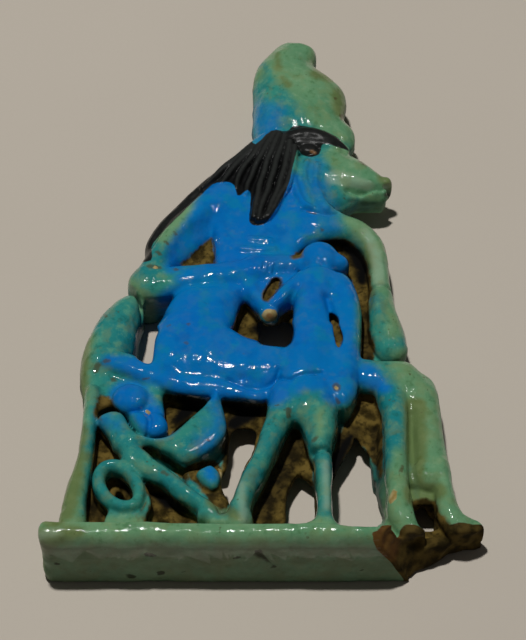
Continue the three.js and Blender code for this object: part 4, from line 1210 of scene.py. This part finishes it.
def faience(name, specular):
    """The glaze and the bare paste share their colours, and the paste reflects far less."""
    m = bpy.data.materials.new(name)
    n = Nodes(m)
    wobble = n.math("SUBTRACT", n.noise(2.2, 3, 1), 0.5)
    fine = n.math("SUBTRACT", n.noise(0.6, 3, 2), 0.5)
    wide = n.noise(6, 3, 3)
    mottle = n.noise(1.1, 5, 4, 0.65)

    def edge(name, soft, wander, small=0.0):
        v = n.math("ADD", n.attribute(name), n.math("MULTIPLY", wobble, wander))
        v = n.math("ADD", v, n.math("MULTIPLY", fine, small))
        return n.ramp(v, -soft, soft)

    def layer(name, spread):
        v = n.math("ADD", n.attribute(name), n.math("MULTIPLY", wobble, spread))
        return n.ramp(n.math("ADD", v, n.math("MULTIPLY", fine, spread * 0.6)), 0.05, 0.95)

    turquoise = n.blend(n.ramp(wide, 0.35, 0.65), rgb(30, 132, 138), rgb(58, 148, 132))
    turquoise = n.blend(n.ramp(mottle, 0.5, 0.68, 0, 0.6), turquoise, rgb(98, 168, 142))
    turquoise = n.blend(n.ramp(mottle, 0.46, 0.34, 0, 0.5), turquoise, rgb(30, 100, 92))
    blue = n.blend(n.ramp(wide, 0.3, 0.7), rgb(0, 114, 202), rgb(0, 124, 198))
    blue = n.blend(n.ramp(mottle, 0.52, 0.7, 0, 0.35), blue, rgb(6, 138, 204))
    blue = n.blend(n.ramp(n.noise(3.2, 3, 5), 0.54, 0.7, 0, 0.45), blue, rgb(0, 94, 178))
    blue = n.blend(n.ramp(n.noise(2.6, 4, 18, 0.6), 0.5, 0.66, 0, 0.4), blue, rgb(14, 140, 168))
    green = n.blend(n.ramp(wide, 0.3, 0.7), rgb(94, 150, 112), rgb(116, 162, 120))
    green = n.blend(n.ramp(mottle, 0.5, 0.7, 0, 0.5), green, rgb(138, 178, 140))
    green = n.blend(n.ramp(mottle, 0.47, 0.33, 0, 0.6), green, rgb(72, 122, 78))
    colour = n.blend(layer("blue", 0.5), turquoise, blue)
    colour = n.blend(layer("green", 0.7), colour, green)
    colour = n.blend(n.math("MULTIPLY", layer("olive", 0.8), 0.7), colour, rgb(104, 112, 54))
    # Painted highlight: paler colour along the highlight strokes
    colour = n.blend(n.math("MULTIPLY", layer("painted_highlight", 0.5), 0.45), colour, rgb(168, 192, 168))
    # Painted shade: darker deep in crevices and corners
    shade = n.ramp(n.attribute("crevice"), 0.45, 0.85)
    colour = n.blend(n.math("MULTIPLY", shade, 0.55), colour, rgb(8, 44, 66))
    thin = n.math("MULTIPLY", n.ramp(n.attribute("crevice"), 0.24, 0.12), n.ramp(n.noise(1.5, 3, 16), 0.45, 0.65))
    thin = n.math("MULTIPLY", thin, n.ramp(n.attribute("blue"), 0.2, 0.8, 0.35, 0.05))
    colour = n.blend(thin, colour, rgb(128, 146, 96))
    specks = n.math("MULTIPLY", n.ramp(n.noise(0.55, 2, 7), 0.66, 0.72), n.ramp(n.noise(4, 2, 8), 0.48, 0.62))
    specks = n.math("MULTIPLY", specks, n.ramp(n.attribute("blue"), 0.3, 0.9, 0.7, 0.15))
    colour = n.blend(specks, colour, rgb(74, 76, 44))
    stain = edge("stain", 0.15, 0.3, 0.5)
    colour = n.blend(n.math("MULTIPLY", stain, 0.7), colour, rgb(80, 74, 44))
    # Painted shade: low upright walls darker
    colour = n.blend(n.math("MULTIPLY", n.attribute("painted_side_shade"), 0.5), colour, rgb(10, 50, 62))
    dirt = n.math("MULTIPLY", n.attribute("under"), n.ramp(n.noise(2.4, 4, 19, 0.6), 0.36, 0.6))
    colour = n.blend(n.math("MULTIPLY", n.attribute("under"), 0.6), colour, rgb(100, 110, 96))
    colour = n.blend(n.math("MULTIPLY", dirt, 0.35), colour, rgb(96, 92, 66))
    colour = n.blend(n.math("MULTIPLY", edge("pit", 0.1, 0.25, 0.2), 0.85), colour, rgb(38, 38, 26))
    paste = n.blend(n.ramp(n.noise(1.6, 4, 9), 0.35, 0.65), rgb(52, 43, 18), rgb(112, 94, 46))
    paste = n.blend(n.ramp(n.noise(0.6, 4, 17), 0.48, 0.66, 0, 0.7), paste, rgb(34, 28, 12))
    chips = n.blend(n.ramp(n.noise(0.8, 3, 10), 0.35, 0.65), rgb(150, 128, 72), rgb(186, 170, 122))
    broken = n.blend(n.ramp(n.noise(1.4, 4, 11), 0.35, 0.65), rgb(38, 32, 14), rgb(84, 70, 34))
    broken = n.blend(n.ramp(n.attribute("rusty"), 0.0, 1.0, 0, 0.3), broken, rgb(140, 92, 46))
    bare = edge("bare", 0.25, 1.0, 0.6)
    chip = edge("chip", 0.08, 0.4, 0.3)
    gone = edge("broken", 0.06, 0.1, 0.1)
    hair = edge("hair", 0.08, 0.4, 0.12)
    colour = n.blend(bare, colour, paste)
    # Painted shadow: very dark where the deep mask is set, below the upper levels
    colour = n.blend(n.math("MULTIPLY", n.attribute("deep"), n.ramp(n.attribute("level"), 6.2, 5.2)), colour, rgb(14, 14, 14))
    # Painted shade and highlight on the hair: darker in the grooves between the locks, lighter along their ridges
    strands = n.math("ADD", n.attribute("lock"), n.math("MULTIPLY", fine, 0.3))
    locks_painted_shade = n.blend(n.ramp(strands, 0.05, 0.55), rgb(15, 16, 17), rgb(42, 45, 44))
    colour = n.blend(hair, colour, locks_painted_shade)
    colour = n.blend(chip, colour, chips)
    colour = n.blend(n.math("MULTIPLY", edge("spot", 0.2, 0.3, 0.3), 0.8), colour, rgb(140, 98, 54))
    colour = n.blend(gone, colour, broken)
    dull = n.math("MAXIMUM", n.math("MAXIMUM", bare, chip), gone)
    gloss = n.ramp(n.noise(1.8, 3, 13), 0.3, 0.7, 0.05, 0.13)
    rough = n.math("ADD", gloss, n.math("MULTIPLY", dull, 0.6))
    rough = n.math("ADD", rough, n.math("MULTIPLY", hair, 0.24))
    rough = n.math("ADD", rough, n.ramp(n.attribute("level"), 5.2, 4.0, 0, 0.35))
    ripple = n.bump(n.noise(2.2, 1.5, 14), 0.0004)
    grain = n.bump(n.noise(0.35, 3, 15), 0.00003, 1.0, ripple)
    n.finish(colour, rough, grain, Specular_IOR_Level=specular)
    return m


def backdrop():
    m = bpy.data.materials.new("pale_board")
    n = Nodes(m)
    colour = n.blend(n.noise(60, 4, 1), rgb(198, 191, 180), rgb(206, 199, 188))
    n.finish(colour, 0.9, n.bump(n.noise(0.8, 3, 2), 0.00003), Specular_IOR_Level=0.1)
    return m


mesh.materials.clear()
mesh.materials.append(faience("faience_glaze", 0.5))
mesh.materials.append(faience("bare_paste", 0.12))


def face_means(values):
    """The mean of a value at the corners of each face."""
    starts = np.zeros(len(mesh.polygons), np.int32)
    mesh.polygons.foreach_get("loop_start", starts)
    corners = np.zeros(len(mesh.loops), np.int32)
    mesh.loops.foreach_get("vertex_index", corners)
    return np.add.reduceat(values[corners], starts) / np.diff(np.append(starts, len(corners)))


LOW_SIDE = 5.0  # the sides below this level reflect little
unglazed = face_means(((DULL > 0) | (Z < LOW_SIDE)).astype(float)) > 0.5
mesh.polygons.foreach_set("material_index", unglazed.astype(np.int32))
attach(piece, "root")
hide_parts("amulet")

# Floor, light and camera

FLOOR_SIDE = 1.6
corners = [(-1, -1, 0), (1, -1, 0), (1, 1, 0), (-1, 1, 0)]
floor_mesh = bpy.data.meshes.new("floor")
floor_mesh.from_pydata([[c * FLOOR_SIDE / 2 for c in p] for p in corners], [], [(0, 1, 2, 3)])
floor_mesh.materials.append(backdrop())
floor = bpy.data.objects.new("floor", floor_mesh)
bpy.context.scene.collection.objects.link(floor)


def lamp(name, place, target, size, power, colour):
    data = bpy.data.lights.new(name, "AREA")
    data.shape = "DISK"
    data.size = size
    data.energy = power
    data.color = colour
    made = bpy.data.objects.new(name, data)
    bpy.context.scene.collection.objects.link(made)
    made.location = place
    way = np.array(target) - np.array(place)
    flat = math.hypot(way[0], way[1])
    made.rotation_euler = (math.atan2(flat, -way[2]), 0, math.atan2(way[1], way[0]) - math.pi / 2)
    return made


key = lamp("key", (-0.09, 0.055, 0.64), (0, 0, 0), 0.04, 2.85, (1.0, 0.97, 0.93))
key.visible_glossy = False
for name, place, size, power in (
    ("glint_above", (-0.06, 0.045, 0.66), 0.035, 0.8),
    ("glint_right", (0.28, 0.0, 0.6), 0.03, 0.3),
):
    glint = lamp(name, place, (0, 0, 0), size, power, (1.0, 0.99, 0.97))
    glint.visible_diffuse = False

world = bpy.data.worlds.new("studio")
bpy.context.scene.world = world
world.use_nodes = True
world.node_tree.nodes["Background"].inputs["Color"].default_value = (1.0, 0.97, 0.92, 1.0)
world.node_tree.nodes["Background"].inputs["Strength"].default_value = 0.05
bpy.context.scene.view_settings.view_transform = "Standard"

CAMERA_TILT = math.radians(40)
CAMERA_AWAY = 0.300
SIGHT_CENTRE_Y = 37.67  # the place on the carving that the camera looks at
CAMERA_TARGET = (SHIFT[0] / 1000, (SIGHT_CENTRE_Y + SHIFT[1]) / 1000, 0.0)
lens = bpy.data.cameras.new("camera")
lens.lens = 141.4
lens.sensor_width = 36.0
lens.clip_start = 0.01
camera = bpy.data.objects.new("camera", lens)
bpy.context.scene.collection.objects.link(camera)
camera.location = (
    CAMERA_TARGET[0],
    CAMERA_TARGET[1] - CAMERA_AWAY * math.sin(CAMERA_TILT),
    CAMERA_TARGET[2] + CAMERA_AWAY * math.cos(CAMERA_TILT),
)
camera.rotation_euler = (CAMERA_TILT, 0, 0)
bpy.context.scene.camera = camera
